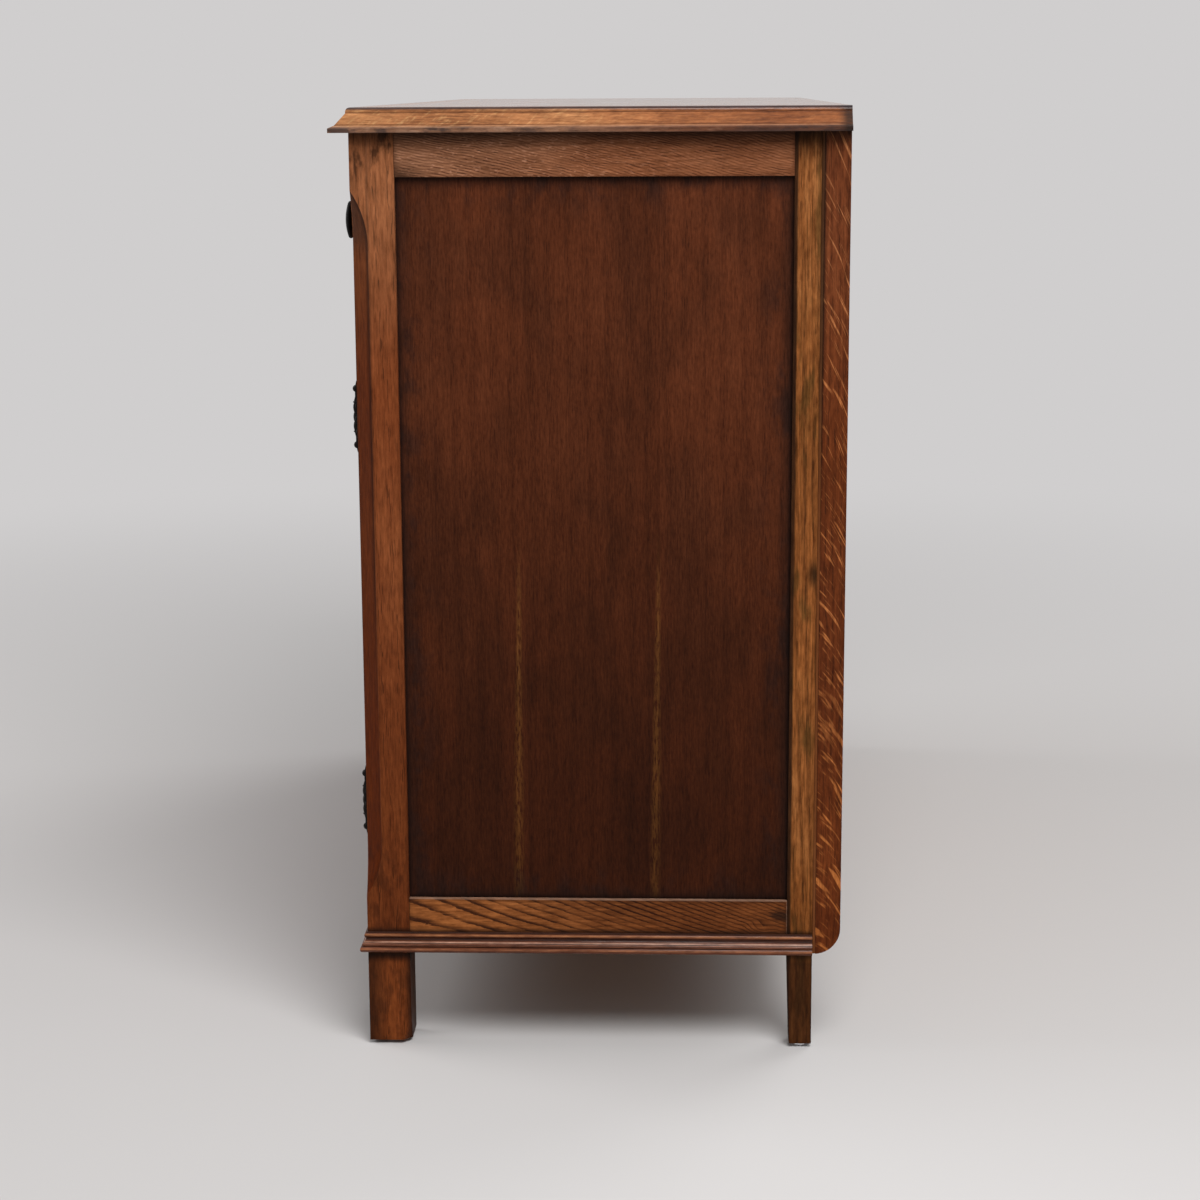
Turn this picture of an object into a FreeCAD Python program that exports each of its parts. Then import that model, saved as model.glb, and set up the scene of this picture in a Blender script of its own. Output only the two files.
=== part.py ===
import FreeCAD, Part
import math
import os

from FreeCAD import Vector

# Oak sideboard: two drawers over two cupboards, framed ends, stop-chamfered posts and a moulded top.
# Millimetres. X runs along the length, the front faces -Y and the floor is at Z = 0.
# The origin is on the floor, below the middle of the box that holds the whole piece, knobs included.

# Overall sizes
OVERALL_HEIGHT = 940.0
TOP_LENGTH = 1220.0
CARCASE_DEPTH = 477.5        # front faces of the posts to the backs of the wall strips
TOP_OVERHANG = 17.5          # past the posts, at the front and at both ends

# Fits
JOINT_END_GAP = 1.0          # glue space at the end of a tenon, tongue or panel edge
FITTED_GAP = 0.5             # around boards that are dropped in between others
RUNNING_CLEARANCE = 0.05     # radial, pins and spindles in their bores

# Top
TOP_THICKNESS = 23.5
TOP_EDGE_WIDTH = 42.0        # the applied moulded strip, over its whole width
TOP_TONGUE_LENGTH = 8.0
TOP_TONGUE_THICKNESS = 8.0
TOP_SQUARE_HEIGHT = 4.2      # plain square at the foot of the edge moulding
TOP_SPLAY_RUN = 5.8          # shallow slope above the square
TOP_SPLAY_RISE = 2.6
TOP_BEVEL_RUN = 9.6          # the broad bevel
TOP_BEVEL_RISE = 11.2
TOP_QUIRK_HEIGHT = 1.6       # small upright above the bevel
TOP_OVOLO_RUN = 4.2          # the rounding runs out on the upper face

# Front posts
POST_WIDTH = 42.7            # square in section
CHAMFER_WIDTH = 16.5         # on each face of the post
CHAMFER_STOP_RADIUS = 120.0
CHAMFER_BELOW_TOP = 54.0     # from the underside of the top to the upper stop
CHAMFER_ABOVE_FLOOR = 157.0  # from the floor to the lower stop
TOE_HEIGHT = 56.0            # the back corner of the leg is eased below this height
TOE_RADIUS = 230.0

# Back posts and wall strips
BACK_POST_WIDTH = 25.4       # square in section
BACK_LEG_TAPER = 3.0         # off the front face, from the bottom rail to the floor
WALL_STRIP_DEPTH = 25.0
WALL_STRIP_THICKNESS = 22.0
WALL_STRIP_BOTTOM = 99.8
WALL_STRIP_RADIUS = 26.5
BACK_PANEL_THICKNESS = 3.0

# Rails
LEG_HEIGHT = 100.0           # floor to the underside of the bottom rails
BOTTOM_RAIL_HEIGHT = 55.5
END_TOP_RAIL_HEIGHT = 42.0
FRONT_TOP_RAIL_HEIGHT = 22.0
DRAWER_RAIL_HEIGHT = 22.0
DRAWER_OPENING_HEIGHT = 138.0
END_RAIL_THICKNESS = 20.0
BOTTOM_RAIL_THICKNESS = 22.0
BACK_RAIL_THICKNESS = 18.0
BACK_TOP_RAIL_HEIGHT = 42.0
CENTRE_WIDTH = 44.0          # centre stile and drawer divider
TENON_LENGTH = 20.0
SHORT_TENON_LENGTH = 10.0    # into the back posts, and on the drawer runners
UPRIGHT_TENON_LENGTH = 7.0   # on the centre stile and the drawer divider
TENON_SHOULDER = 6.0
HAUNCH_SHOULDER = 9.0        # above and below the tenons of grooved rails

# End panels
END_PANEL_THICKNESS = 5.0
END_PANEL_RECESS = 6.0
PANEL_GROOVE = 7.0

# Base moulding, from its top down: start, end, height and swell of each member
BASE_FILLET = (1.4, 1.4, 1.5, 0.0)
BASE_BEAD = (1.9, 1.9, 4.4, 1.3)
BASE_COVE = (2.1, 2.7, 3.4, -0.9)
BASE_SPLAY = (2.8, 4.4, 2.4, 0.0)
BASE_REED = (4.5, 4.9, 2.8, 0.7)
BASE_TORUS = (5.2, 5.6, 6.0, 2.0)

# Inside of the cupboards
FLOOR_THICKNESS = 9.0
PARTITION_THICKNESS = 16.0
CLEAT_SIZE = 18.0
SHELF_THICKNESS = 14.0
SHELF_HEIGHT = 430.0         # floor of the room to the top of the cleats
SHELF_SETBACK = 60.0         # from the front faces of the posts

# Drawers
DRAWER_GAP = 1.0             # beside and under the drawer fronts
DRAWER_TOP_GAP = 1.5
DRAWER_FRONT_THICKNESS = 20.0
DRAWER_LAP = 7.0             # wood left in front of the dovetails
DRAWER_SIDE_THICKNESS = 11.0
DRAWER_SIDE_HEIGHT = 128.0
DRAWER_BACK_ROOM = 16.0      # from a closed drawer to the back posts
DRAWER_BACK_THICKNESS = 10.0
DRAWER_BACK_DROP = 10.0      # the back is lower than the sides
DRAWER_BOTTOM_THICKNESS = 4.0
DRAWER_BOTTOM_UP = 12.0      # bottom edge of the sides to the groove
DRAWER_GROOVE = 5.0
DOVETAIL_COUNT = 4
DOVETAIL_SLOPE = 0.16
DOVETAIL_PIN = 8.0           # narrow end of the pins between the tails
RUNNER_BEARING = 14.0        # runner under the drawer side, past the opening
GUIDE_HEIGHT = 30.0
STOP_HEIGHT = 8.0
STOP_LENGTH = 22.0
STOP_WIDTH = 40.0
STOP_INSET = 70.0            # end of the drawer opening to the stop

# Doors
DOOR_GAP = 1.5
DOOR_THICKNESS = 21.5
DOOR_STILE_WIDTH = 60.0
DOOR_TOP_RAIL_HEIGHT = 60.0
DOOR_BOTTOM_RAIL_HEIGHT = 76.0
DOOR_TENON_LENGTH = 32.0
DOOR_PANEL_THICKNESS = 6.0
DOOR_PANEL_RECESS = 6.0

# Knobs
KNOB_DIAMETER = 38.0
KNOB_PROJECTION = 28.0
KNOB_FACE_RADIUS = 55.0
KNOB_RIM = 3.6
KNOB_RIM_SWELL = 1.0
KNOB_NECK_DIAMETER = 13.0
KNOB_NECK_START = 6.0        # from the wood, where the neck is slimmest
KNOB_ROSE_DIAMETER = 27.0
KNOB_ROSE_THICKNESS = 2.0
KNOB_STUD_DIAMETER = 8.0
KNOB_STUD_LENGTH = 13.0
DOOR_KNOB_HEIGHT = 470.0     # floor to the knob

# Turning catches behind the door knobs
CATCH_THICKNESS = 3.0
CATCH_WIDTH = 15.0
CATCH_GAP = 0.5              # behind the centre stile
CATCH_HOLD = 10.0            # reach behind the centre stile
CATCH_SQUARE = 5.0           # squared end of the spindle
CATCH_RIVET = 1.5            # spindle left standing behind the catch

# Hinges
HINGE_TOP_INSET = 95.0       # upper end of the door opening to the hinge centre
HINGE_BOTTOM_INSET = 91.0    # lower end of the door opening to the hinge centre
HINGE_KNUCKLE_DIAMETER = 7.2
HINGE_KNUCKLE_LENGTH = 9.0
HINGE_KNUCKLE_SWELL = 0.8    # each knuckle is barrel-shaped
HINGE_KNUCKLE_GAP = 0.3
HINGE_FACE_GAP = 0.3         # between the knuckles and the wood
HINGE_PIN_DIAMETER = 3.6
HINGE_LEAF_THICKNESS = 2.0
HINGE_ROOT_WIDTH = 14.0
HINGE_WING_RADIUS = 7.0
HINGE_WING_RISE = 12.5
HINGE_TIP_RADIUS = 5.0
HINGE_TIP_REACH = 17.5
HINGE_CUT_BACK = 4.6         # edge of a leaf beside the other leaf's knuckles
HINGE_SCREW_HOLE = 3.4
HINGE_EYE_DIAMETER = 4.0
FINIAL_COLLAR = 1.6
FINIAL_NECK_DIAMETER = 3.2
FINIAL_BALL_DIAMETER = 7.4
FINIAL_BALL_RISE = 28.0      # hinge centre to the ball
FINIAL_TIP_DIAMETER = 2.0
FINIAL_HEIGHT = 36.0         # hinge centre to the tip

# Glides
GLIDE_HEIGHT = 4.0
GLIDE_DIAMETER = 22.0
GLIDE_FOOT_DIAMETER = 16.0   # the flat that meets the floor
GLIDE_NAIL_DIAMETER = 3.0
GLIDE_NAIL_LENGTH = 14.0

# Places along the three axes
FRONT_REACH = max(KNOB_PROJECTION, TOP_OVERHANG)
X_END = TOP_LENGTH / 2 - TOP_OVERHANG
X_OPENING = X_END - POST_WIDTH
X_CENTRE = CENTRE_WIDTH / 2
X_PANEL = X_END - END_PANEL_RECESS - END_PANEL_THICKNESS
X_HINGE = X_OPENING - DOOR_GAP / 2
Y_FACE = (FRONT_REACH - CARCASE_DEPTH) / 2
Y_BACK = Y_FACE + CARCASE_DEPTH
Y_STRIP = Y_BACK - WALL_STRIP_DEPTH
Y_PLY = Y_STRIP - BACK_PANEL_THICKNESS
Y_BACK_POST = Y_PLY - BACK_POST_WIDTH
Y_BACK_RAIL = Y_PLY - BACK_RAIL_THICKNESS
Y_POST_BACK = Y_FACE + POST_WIDTH
Y_TOP_FRONT = Y_FACE - TOP_OVERHANG
Y_HINGE = Y_FACE - HINGE_FACE_GAP - HINGE_KNUCKLE_DIAMETER / 2
Z_UNDER = OVERALL_HEIGHT - TOP_THICKNESS
Z_RAIL = LEG_HEIGHT + BOTTOM_RAIL_HEIGHT
Z_END_RAIL = Z_UNDER - END_TOP_RAIL_HEIGHT
Z_DRAWER_TOP = Z_UNDER - FRONT_TOP_RAIL_HEIGHT
Z_DRAWER = Z_DRAWER_TOP - DRAWER_OPENING_HEIGHT
Z_DOOR_TOP = Z_DRAWER - DRAWER_RAIL_HEIGHT
Z_FLOOR = Z_RAIL + FLOOR_THICKNESS
X_RUNNER = X_OPENING - RUNNER_BEARING
X_RUNNER_END = X_END - BACK_POST_WIDTH
X_MID_RUNNER = X_CENTRE + RUNNER_BEARING
HINGE_LEVELS = (Z_DOOR_TOP - HINGE_TOP_INSET, Z_RAIL + HINGE_BOTTOM_INSET)
HINGE_HALF_HEIGHT = 1.5 * HINGE_KNUCKLE_LENGTH + HINGE_KNUCKLE_GAP
BOW = math.sqrt(0.5)         # middle of a quarter circle, as a share of its radius
AXIS_X = Vector(1, 0, 0)
AXIS_Y = Vector(0, 1, 0)
AXIS_Z = Vector(0, 0, 1)


# Small helpers
def cuboid(x, y, z):
    """Box from three (low, high) ranges."""
    return Part.makeBox(x[1] - x[0], y[1] - y[0], z[1] - z[0], Vector(x[0], y[0], z[0]))


def grown(span, amount):
    """Range widened at both ends, or narrowed by a negative amount."""
    return (span[0] - amount, span[1] + amount)


def mirrored(shape):
    """Left-hand copy of a right-hand piece."""
    return shape.mirror(Vector(0, 0, 0), AXIS_X)


def pair(shape):
    """A right-hand piece and its left-hand copy."""
    return [shape, mirrored(shape)]


def joined(*solids):
    """One solid without the seams of its parts."""
    return solids[0].fuse(list(solids[1:])).removeSplitter()


def line(start, end):
    return Part.LineSegment(start, end).toShape()


def arc(start, middle, end):
    return Part.Arc(start, middle, end).toShape()


def face_of(edges):
    return Part.Face(Part.Wire(edges))


def polygon_face(points):
    return Part.Face(Part.makePolygon(list(points) + [points[0]]))


def member(axis, spans, tenons, shoulders):
    """Framing piece with a tenon at each end, and the tool that cuts its mortises.

    spans are its X, Y and Z ranges between shoulders, and axis is the index of its length.
    """
    low, high = spans[axis]
    core = [grown(span, -shoulder) for span, shoulder in zip(spans, shoulders)]
    mortise = list(core)
    core[axis] = (low - tenons[0], high + tenons[1])
    mortise[axis] = grown(core[axis], JOINT_END_GAP)
    return joined(cuboid(*spans), cuboid(*core)), cuboid(*mortise)


# Front frame
RAIL_SHOULDERS = (0.0, TENON_SHOULDER, TENON_SHOULDER)
LONG_TENONS = (TENON_LENGTH, TENON_LENGTH)
SHORT_TENONS = (SHORT_TENON_LENGTH, SHORT_TENON_LENGTH)
OPENING_SPAN = (-X_OPENING, X_OPENING)
POST_SPAN_Y = (Y_FACE, Y_POST_BACK)
CENTRE_SPAN = (-X_CENTRE, X_CENTRE)

front_top_rail, front_top_mortise = member(
    0, (OPENING_SPAN, POST_SPAN_Y, (Z_DRAWER_TOP, Z_UNDER)), LONG_TENONS, RAIL_SHOULDERS)
drawer_rail, drawer_rail_mortise = member(
    0, (OPENING_SPAN, POST_SPAN_Y, (Z_DOOR_TOP, Z_DRAWER)), LONG_TENONS, RAIL_SHOULDERS)
bottom_rail_span_y = (Y_FACE, Y_FACE + BOTTOM_RAIL_THICKNESS)
front_bottom_rail, front_bottom_mortise = member(
    0, (OPENING_SPAN, bottom_rail_span_y, (LEG_HEIGHT, Z_RAIL)), LONG_TENONS, RAIL_SHOULDERS)
upright_tenons = (UPRIGHT_TENON_LENGTH, UPRIGHT_TENON_LENGTH)
divider_shoulders = (HAUNCH_SHOULDER, SHORT_TENON_LENGTH + TENON_SHOULDER, 0.0)
drawer_divider, divider_mortise = member(
    2, (CENTRE_SPAN, POST_SPAN_Y, (Z_DRAWER, Z_DRAWER_TOP)), upright_tenons, divider_shoulders)
centre_shoulders = (HAUNCH_SHOULDER, TENON_SHOULDER, 0.0)
centre_stile, centre_mortise = member(
    2, (CENTRE_SPAN, bottom_rail_span_y, (Z_RAIL, Z_DOOR_TOP)), upright_tenons, centre_shoulders)

# Back rails
BACK_RAIL_SPAN_X = (-X_RUNNER_END, X_RUNNER_END)
BACK_RAIL_SPAN_Y = (Y_BACK_RAIL, Y_PLY)
back_rail_levels = (
    (LEG_HEIGHT, Z_RAIL),
    (Z_DOOR_TOP, Z_DRAWER),
    (Z_UNDER - BACK_TOP_RAIL_HEIGHT, Z_UNDER),
)
back_rails = []
back_rail_mortises = []
for level in back_rail_levels:
    rail, mortise = member(
        0, (BACK_RAIL_SPAN_X, BACK_RAIL_SPAN_Y, level), SHORT_TENONS, RAIL_SHOULDERS)
    back_rails.append(rail)
    back_rail_mortises.append(mortise)

# Right end frame
END_SPAN_X = (X_END - END_RAIL_THICKNESS, X_END)
END_SPAN_Y = (Y_POST_BACK, Y_BACK_POST)
end_tenons = (TENON_LENGTH, SHORT_TENON_LENGTH)
end_shoulders = (TENON_SHOULDER, 0.0, HAUNCH_SHOULDER)
end_top_rail, end_top_mortise = member(
    1, (END_SPAN_X, END_SPAN_Y, (Z_END_RAIL, Z_UNDER)), end_tenons, end_shoulders)
end_bottom_rail, end_bottom_mortise = member(
    1, (END_SPAN_X, END_SPAN_Y, (LEG_HEIGHT, Z_RAIL)), end_tenons, end_shoulders)
PANEL_SPAN_X = (X_PANEL, X_END - END_PANEL_RECESS)
panel_groove = cuboid(
    PANEL_SPAN_X, grown(END_SPAN_Y, PANEL_GROOVE), grown((Z_RAIL, Z_END_RAIL), PANEL_GROOVE))
panel_edge = PANEL_GROOVE - JOINT_END_GAP
end_panel = cuboid(
    PANEL_SPAN_X, grown(END_SPAN_Y, panel_edge), grown((Z_RAIL, Z_END_RAIL), panel_edge))
end_top_rail = end_top_rail.cut(panel_groove)
end_bottom_rail = end_bottom_rail.cut(panel_groove)

# Drawer runners, guides, kickers and stops
RUN_SPAN_Y = (Y_POST_BACK, Y_BACK_RAIL)
run_shoulders = (TENON_SHOULDER, 0.0, TENON_SHOULDER)
OUTER_RUN = (X_RUNNER, X_RUNNER_END)
MID_RUN = (-X_MID_RUNNER, X_MID_RUNNER)


def runs_at(level):
    """Three members from front to back at one level, and the tools for their mortises."""
    outer, outer_mortise = member(1, (OUTER_RUN, RUN_SPAN_Y, level), SHORT_TENONS, run_shoulders)
    middle, middle_mortise = member(1, (MID_RUN, RUN_SPAN_Y, level), SHORT_TENONS, run_shoulders)
    return pair(outer) + [middle], pair(outer_mortise) + [middle_mortise]


drawer_runners, runner_mortises = runs_at((Z_DOOR_TOP, Z_DRAWER))
drawer_kickers, kicker_mortises = runs_at((Z_DRAWER_TOP, Z_UNDER))
guide_heights = (Z_DRAWER, Z_DRAWER + GUIDE_HEIGHT)
drawer_guides = pair(cuboid((X_OPENING, X_RUNNER_END), RUN_SPAN_Y, guide_heights))
drawer_guides.append(cuboid(CENTRE_SPAN, RUN_SPAN_Y, guide_heights))
drawer_rail = drawer_rail.cut(runner_mortises + [divider_mortise, centre_mortise])
front_top_rail = front_top_rail.cut(kicker_mortises + [divider_mortise])
front_bottom_rail = front_bottom_rail.cut(centre_mortise)
back_rails = [rail.cut(runner_mortises + kicker_mortises) for rail in back_rails]
stop_front = Y_FACE + DRAWER_FRONT_THICKNESS + FITTED_GAP
stop_span_y = (stop_front, stop_front + STOP_LENGTH)
stop_heights = (Z_DRAWER, Z_DRAWER + STOP_HEIGHT)
drawer_stops = []
for stop_x in (X_CENTRE + STOP_INSET, X_OPENING - STOP_INSET - STOP_WIDTH):
    drawer_stops += pair(cuboid((stop_x, stop_x + STOP_WIDTH), stop_span_y, stop_heights))


# Posts
def glide_at(x, y):
    """Domed metal glide with a nail, seated under a post."""
    foot = GLIDE_FOOT_DIAMETER / 2
    rim = GLIDE_DIAMETER / 2
    nail = GLIDE_NAIL_DIAMETER / 2
    shoulder = Vector(foot + (rim - foot) * BOW, 0, GLIDE_HEIGHT * (1 - BOW))
    corners = (
        Vector(0, 0, 0),
        Vector(foot, 0, 0),
        Vector(rim, 0, GLIDE_HEIGHT),
        Vector(nail, 0, GLIDE_HEIGHT),
        Vector(nail, 0, GLIDE_HEIGHT + GLIDE_NAIL_LENGTH),
        Vector(0, 0, GLIDE_HEIGHT + GLIDE_NAIL_LENGTH),
    )
    edges = [
        line(corners[0], corners[1]),
        arc(corners[1], shoulder, corners[2]),
        line(corners[2], corners[3]),
        line(corners[3], corners[4]),
        line(corners[4], corners[5]),
        line(corners[5], corners[0]),
    ]
    glide = face_of(edges).revolve(Vector(0, 0, 0), AXIS_Z, 360)
    glide.translate(Vector(x, y, 0))
    return glide


def nail_hole(x, y):
    radius = GLIDE_NAIL_DIAMETER / 2 + RUNNING_CLEARANCE
    depth = GLIDE_NAIL_LENGTH + JOINT_END_GAP
    return Part.makeCylinder(radius, depth, Vector(x, y, GLIDE_HEIGHT))


def corner_cutter(corner, inward, outline_edges, reach):
    """Prism that trims a vertical corner.

    The outline is drawn with X as the depth along the corner's diagonal and Z as the height.
    """
    face = face_of(outline_edges)
    prism = face.extrude(Vector(0, 2 * reach, 0))
    prism.translate(Vector(0, -reach, 0))
    prism.rotate(Vector(0, 0, 0), AXIS_Z, math.degrees(math.atan2(inward.y, inward.x)))
    prism.translate(Vector(corner.x, corner.y, 0))
    return prism


def stopped_chamfer():
    """Cutter for the stopped chamfer on the outer front corner of the right post."""
    depth = CHAMFER_WIDTH / math.sqrt(2)
    run = math.sqrt(2 * CHAMFER_STOP_RADIUS * depth - depth ** 2)
    half_run = run / 2
    half_depth = depth - CHAMFER_STOP_RADIUS + math.sqrt(CHAMFER_STOP_RADIUS ** 2 - half_run ** 2)
    top = Z_UNDER - CHAMFER_BELOW_TOP
    low = CHAMFER_ABOVE_FLOOR
    edges = [
        arc(Vector(0, 0, top), Vector(half_depth, 0, top - half_run), Vector(depth, 0, top - run)),
        line(Vector(depth, 0, top - run), Vector(depth, 0, low + run)),
        arc(Vector(depth, 0, low + run), Vector(half_depth, 0, low + half_run), Vector(0, 0, low)),
        line(Vector(0, 0, low), Vector(-depth, 0, low)),
        line(Vector(-depth, 0, low), Vector(-depth, 0, top)),
        line(Vector(-depth, 0, top), Vector(0, 0, top)),
    ]
    return corner_cutter(Vector(X_END, Y_FACE, 0), Vector(-1, 1, 0), edges, 2 * depth)


def toe_chamfer():
    """Cutter that eases the outer back corner of the front leg towards the floor."""
    drop = TOE_HEIGHT - GLIDE_HEIGHT
    depth = TOE_RADIUS - math.sqrt(TOE_RADIUS ** 2 - drop ** 2)
    half_depth = TOE_RADIUS - math.sqrt(TOE_RADIUS ** 2 - (drop / 2) ** 2)
    edges = [
        arc(Vector(0, 0, TOE_HEIGHT), Vector(half_depth, 0, TOE_HEIGHT - drop / 2),
            Vector(depth, 0, GLIDE_HEIGHT)),
        line(Vector(depth, 0, GLIDE_HEIGHT), Vector(-depth, 0, GLIDE_HEIGHT)),
        line(Vector(-depth, 0, GLIDE_HEIGHT), Vector(-depth, 0, TOE_HEIGHT)),
        line(Vector(-depth, 0, TOE_HEIGHT), Vector(0, 0, TOE_HEIGHT)),
    ]
    return corner_cutter(Vector(X_END, Y_POST_BACK, 0), Vector(-1, -1, 0), edges, 2 * depth)


def back_leg_taper():
    """Wedge off the front face of the right back leg, below the bottom rail."""
    points = (
        Vector(X_RUNNER_END, Y_BACK_POST, LEG_HEIGHT),
        Vector(X_RUNNER_END, Y_BACK_POST, 0),
        Vector(X_RUNNER_END, Y_BACK_POST + BACK_LEG_TAPER, 0),
    )
    return polygon_face(points).extrude(Vector(BACK_POST_WIDTH, 0, 0))


POST_HEIGHTS = (GLIDE_HEIGHT, Z_UNDER)
front_leg_middle = (X_END - POST_WIDTH / 2, Y_FACE + POST_WIDTH / 2)
back_leg_middle = (X_END - BACK_POST_WIDTH / 2, Y_BACK_POST + (BACK_POST_WIDTH + BACK_LEG_TAPER) / 2)
front_post = cuboid((X_OPENING, X_END), POST_SPAN_Y, POST_HEIGHTS).cut([
    stopped_chamfer(),
    toe_chamfer(),
    front_top_mortise,
    drawer_rail_mortise,
    front_bottom_mortise,
    end_top_mortise,
    end_bottom_mortise,
    panel_groove,
    nail_hole(*front_leg_middle),
] + runner_mortises + kicker_mortises)
back_post = cuboid((X_RUNNER_END, X_END), (Y_BACK_POST, Y_PLY), POST_HEIGHTS).cut([
    back_leg_taper(),
    end_top_mortise,
    end_bottom_mortise,
    panel_groove,
    nail_hole(*back_leg_middle),
] + back_rail_mortises)
glides = pair(glide_at(*front_leg_middle)) + pair(glide_at(*back_leg_middle))

# Back panel and wall strips
back_panel = cuboid((-X_END, X_END), (Y_PLY, Y_STRIP), (LEG_HEIGHT, Z_UNDER))


def wall_strip_right():
    """Strip behind the back post, with its bottom rear corner rounded off."""
    middle_y = Y_BACK - WALL_STRIP_RADIUS
    middle_z = WALL_STRIP_BOTTOM + WALL_STRIP_RADIUS
    fall = math.sqrt(WALL_STRIP_RADIUS ** 2 - (Y_STRIP - middle_y) ** 2)
    start = Vector(X_END, Y_STRIP, middle_z - fall)
    turn = math.atan2(-fall, Y_STRIP - middle_y) / 2
    bend = Vector(
        X_END,
        middle_y + WALL_STRIP_RADIUS * math.cos(turn),
        middle_z + WALL_STRIP_RADIUS * math.sin(turn))
    rise = Vector(X_END, Y_BACK, middle_z)
    edges = [
        arc(start, bend, rise),
        line(rise, Vector(X_END, Y_BACK, Z_UNDER)),
        line(Vector(X_END, Y_BACK, Z_UNDER), Vector(X_END, Y_STRIP, Z_UNDER)),
        line(Vector(X_END, Y_STRIP, Z_UNDER), start),
    ]
    return face_of(edges).extrude(Vector(-WALL_STRIP_THICKNESS, 0, 0))


# Top with its applied moulded edge
def top_edge_face(place):
    """Section of the moulded edge; place turns (inset, height) into a point in space."""
    inset_splay = TOP_SPLAY_RUN
    inset_bevel = inset_splay + TOP_BEVEL_RUN
    height_splay = TOP_SQUARE_HEIGHT + TOP_SPLAY_RISE
    height_bevel = height_splay + TOP_BEVEL_RISE
    height_quirk = height_bevel + TOP_QUIRK_HEIGHT
    ovolo_rise = TOP_THICKNESS - height_quirk
    crown = (inset_bevel + TOP_OVOLO_RUN * (1 - BOW), height_quirk + ovolo_rise * BOW)
    inset_top = inset_bevel + TOP_OVOLO_RUN
    edges = [
        line(place(0, 0), place(0, TOP_SQUARE_HEIGHT)),
        line(place(0, TOP_SQUARE_HEIGHT), place(inset_splay, height_splay)),
        line(place(inset_splay, height_splay), place(inset_bevel, height_bevel)),
        line(place(inset_bevel, height_bevel), place(inset_bevel, height_quirk)),
        arc(place(inset_bevel, height_quirk), place(*crown), place(inset_top, TOP_THICKNESS)),
        line(place(inset_top, TOP_THICKNESS), place(TOP_EDGE_WIDTH, TOP_THICKNESS)),
        line(place(TOP_EDGE_WIDTH, TOP_THICKNESS), place(TOP_EDGE_WIDTH, 0)),
        line(place(TOP_EDGE_WIDTH, 0), place(0, 0)),
    ]
    return face_of(edges)


def mitre_prism(points, low, high):
    """Upright prism on a plan outline, used to mitre a moulding."""
    face = polygon_face([Vector(x, y, low) for x, y in points])
    return face.extrude(Vector(0, 0, high - low))


X_TOP = TOP_LENGTH / 2
X_BOARD = X_TOP - TOP_EDGE_WIDTH
Y_BOARD = Y_TOP_FRONT + TOP_EDGE_WIDTH
tongue_low = Z_UNDER + (TOP_THICKNESS - TOP_TONGUE_THICKNESS) / 2
tongue_heights = (tongue_low, tongue_low + TOP_TONGUE_THICKNESS)
TOP_HEIGHTS = (Z_UNDER, OVERALL_HEIGHT)
tongue_slab = cuboid(
    grown((-X_BOARD, X_BOARD), TOP_TONGUE_LENGTH), (Y_BOARD - TOP_TONGUE_LENGTH, Y_BACK), tongue_heights)
groove_depth = TOP_TONGUE_LENGTH + JOINT_END_GAP
groove_slab = cuboid(
    grown((-X_BOARD, X_BOARD), groove_depth), (Y_BOARD - groove_depth, Y_BACK), tongue_heights)
top_panel = joined(cuboid((-X_BOARD, X_BOARD), (Y_BOARD, Y_BACK), TOP_HEIGHTS), tongue_slab)

front_edge_run = top_edge_face(lambda inset, height: Vector(-X_TOP, Y_TOP_FRONT + inset, Z_UNDER + height))
front_edge_plan = [(-X_TOP, Y_TOP_FRONT), (X_TOP, Y_TOP_FRONT), (X_BOARD, Y_BOARD), (-X_BOARD, Y_BOARD)]
top_edge_front = front_edge_run.extrude(Vector(TOP_LENGTH, 0, 0)).common(
    mitre_prism(front_edge_plan, *TOP_HEIGHTS)).cut(groove_slab)
end_edge_run = top_edge_face(lambda inset, height: Vector(X_TOP - inset, Y_TOP_FRONT, Z_UNDER + height))
end_edge_plan = [(X_TOP, Y_TOP_FRONT), (X_TOP, Y_BACK), (X_BOARD, Y_BACK), (X_BOARD, Y_BOARD)]
top_edge_right = end_edge_run.extrude(Vector(0, Y_BACK - Y_TOP_FRONT, 0)).common(
    mitre_prism(end_edge_plan, *TOP_HEIGHTS)).cut(groove_slab)

# Base moulding
BASE_MEMBERS = (BASE_FILLET, BASE_BEAD, BASE_COVE, BASE_SPLAY, BASE_REED, BASE_TORUS)
BASE_HEIGHT = sum(part[2] for part in BASE_MEMBERS)
BASE_REACH = max(max(part[0], part[1]) + max(part[3], 0.0) for part in BASE_MEMBERS)


def base_moulding_face(place):
    """Section of the base moulding; place turns (projection, height) into a point in space."""
    edges = []
    height = BASE_HEIGHT
    last = place(0, height)
    for begin, end, fall, swell in BASE_MEMBERS:
        start = place(begin, height)
        finish = place(end, height - fall)
        if start.distanceToPoint(last) > 0:
            edges.append(line(last, start))
        if swell:
            edges.append(arc(start, place((begin + end) / 2 + swell, height - fall / 2), finish))
        else:
            edges.append(line(start, finish))
        height -= fall
        last = finish
    edges.append(line(last, place(0, 0)))
    edges.append(line(place(0, 0), place(0, BASE_HEIGHT)))
    return face_of(edges)


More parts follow.
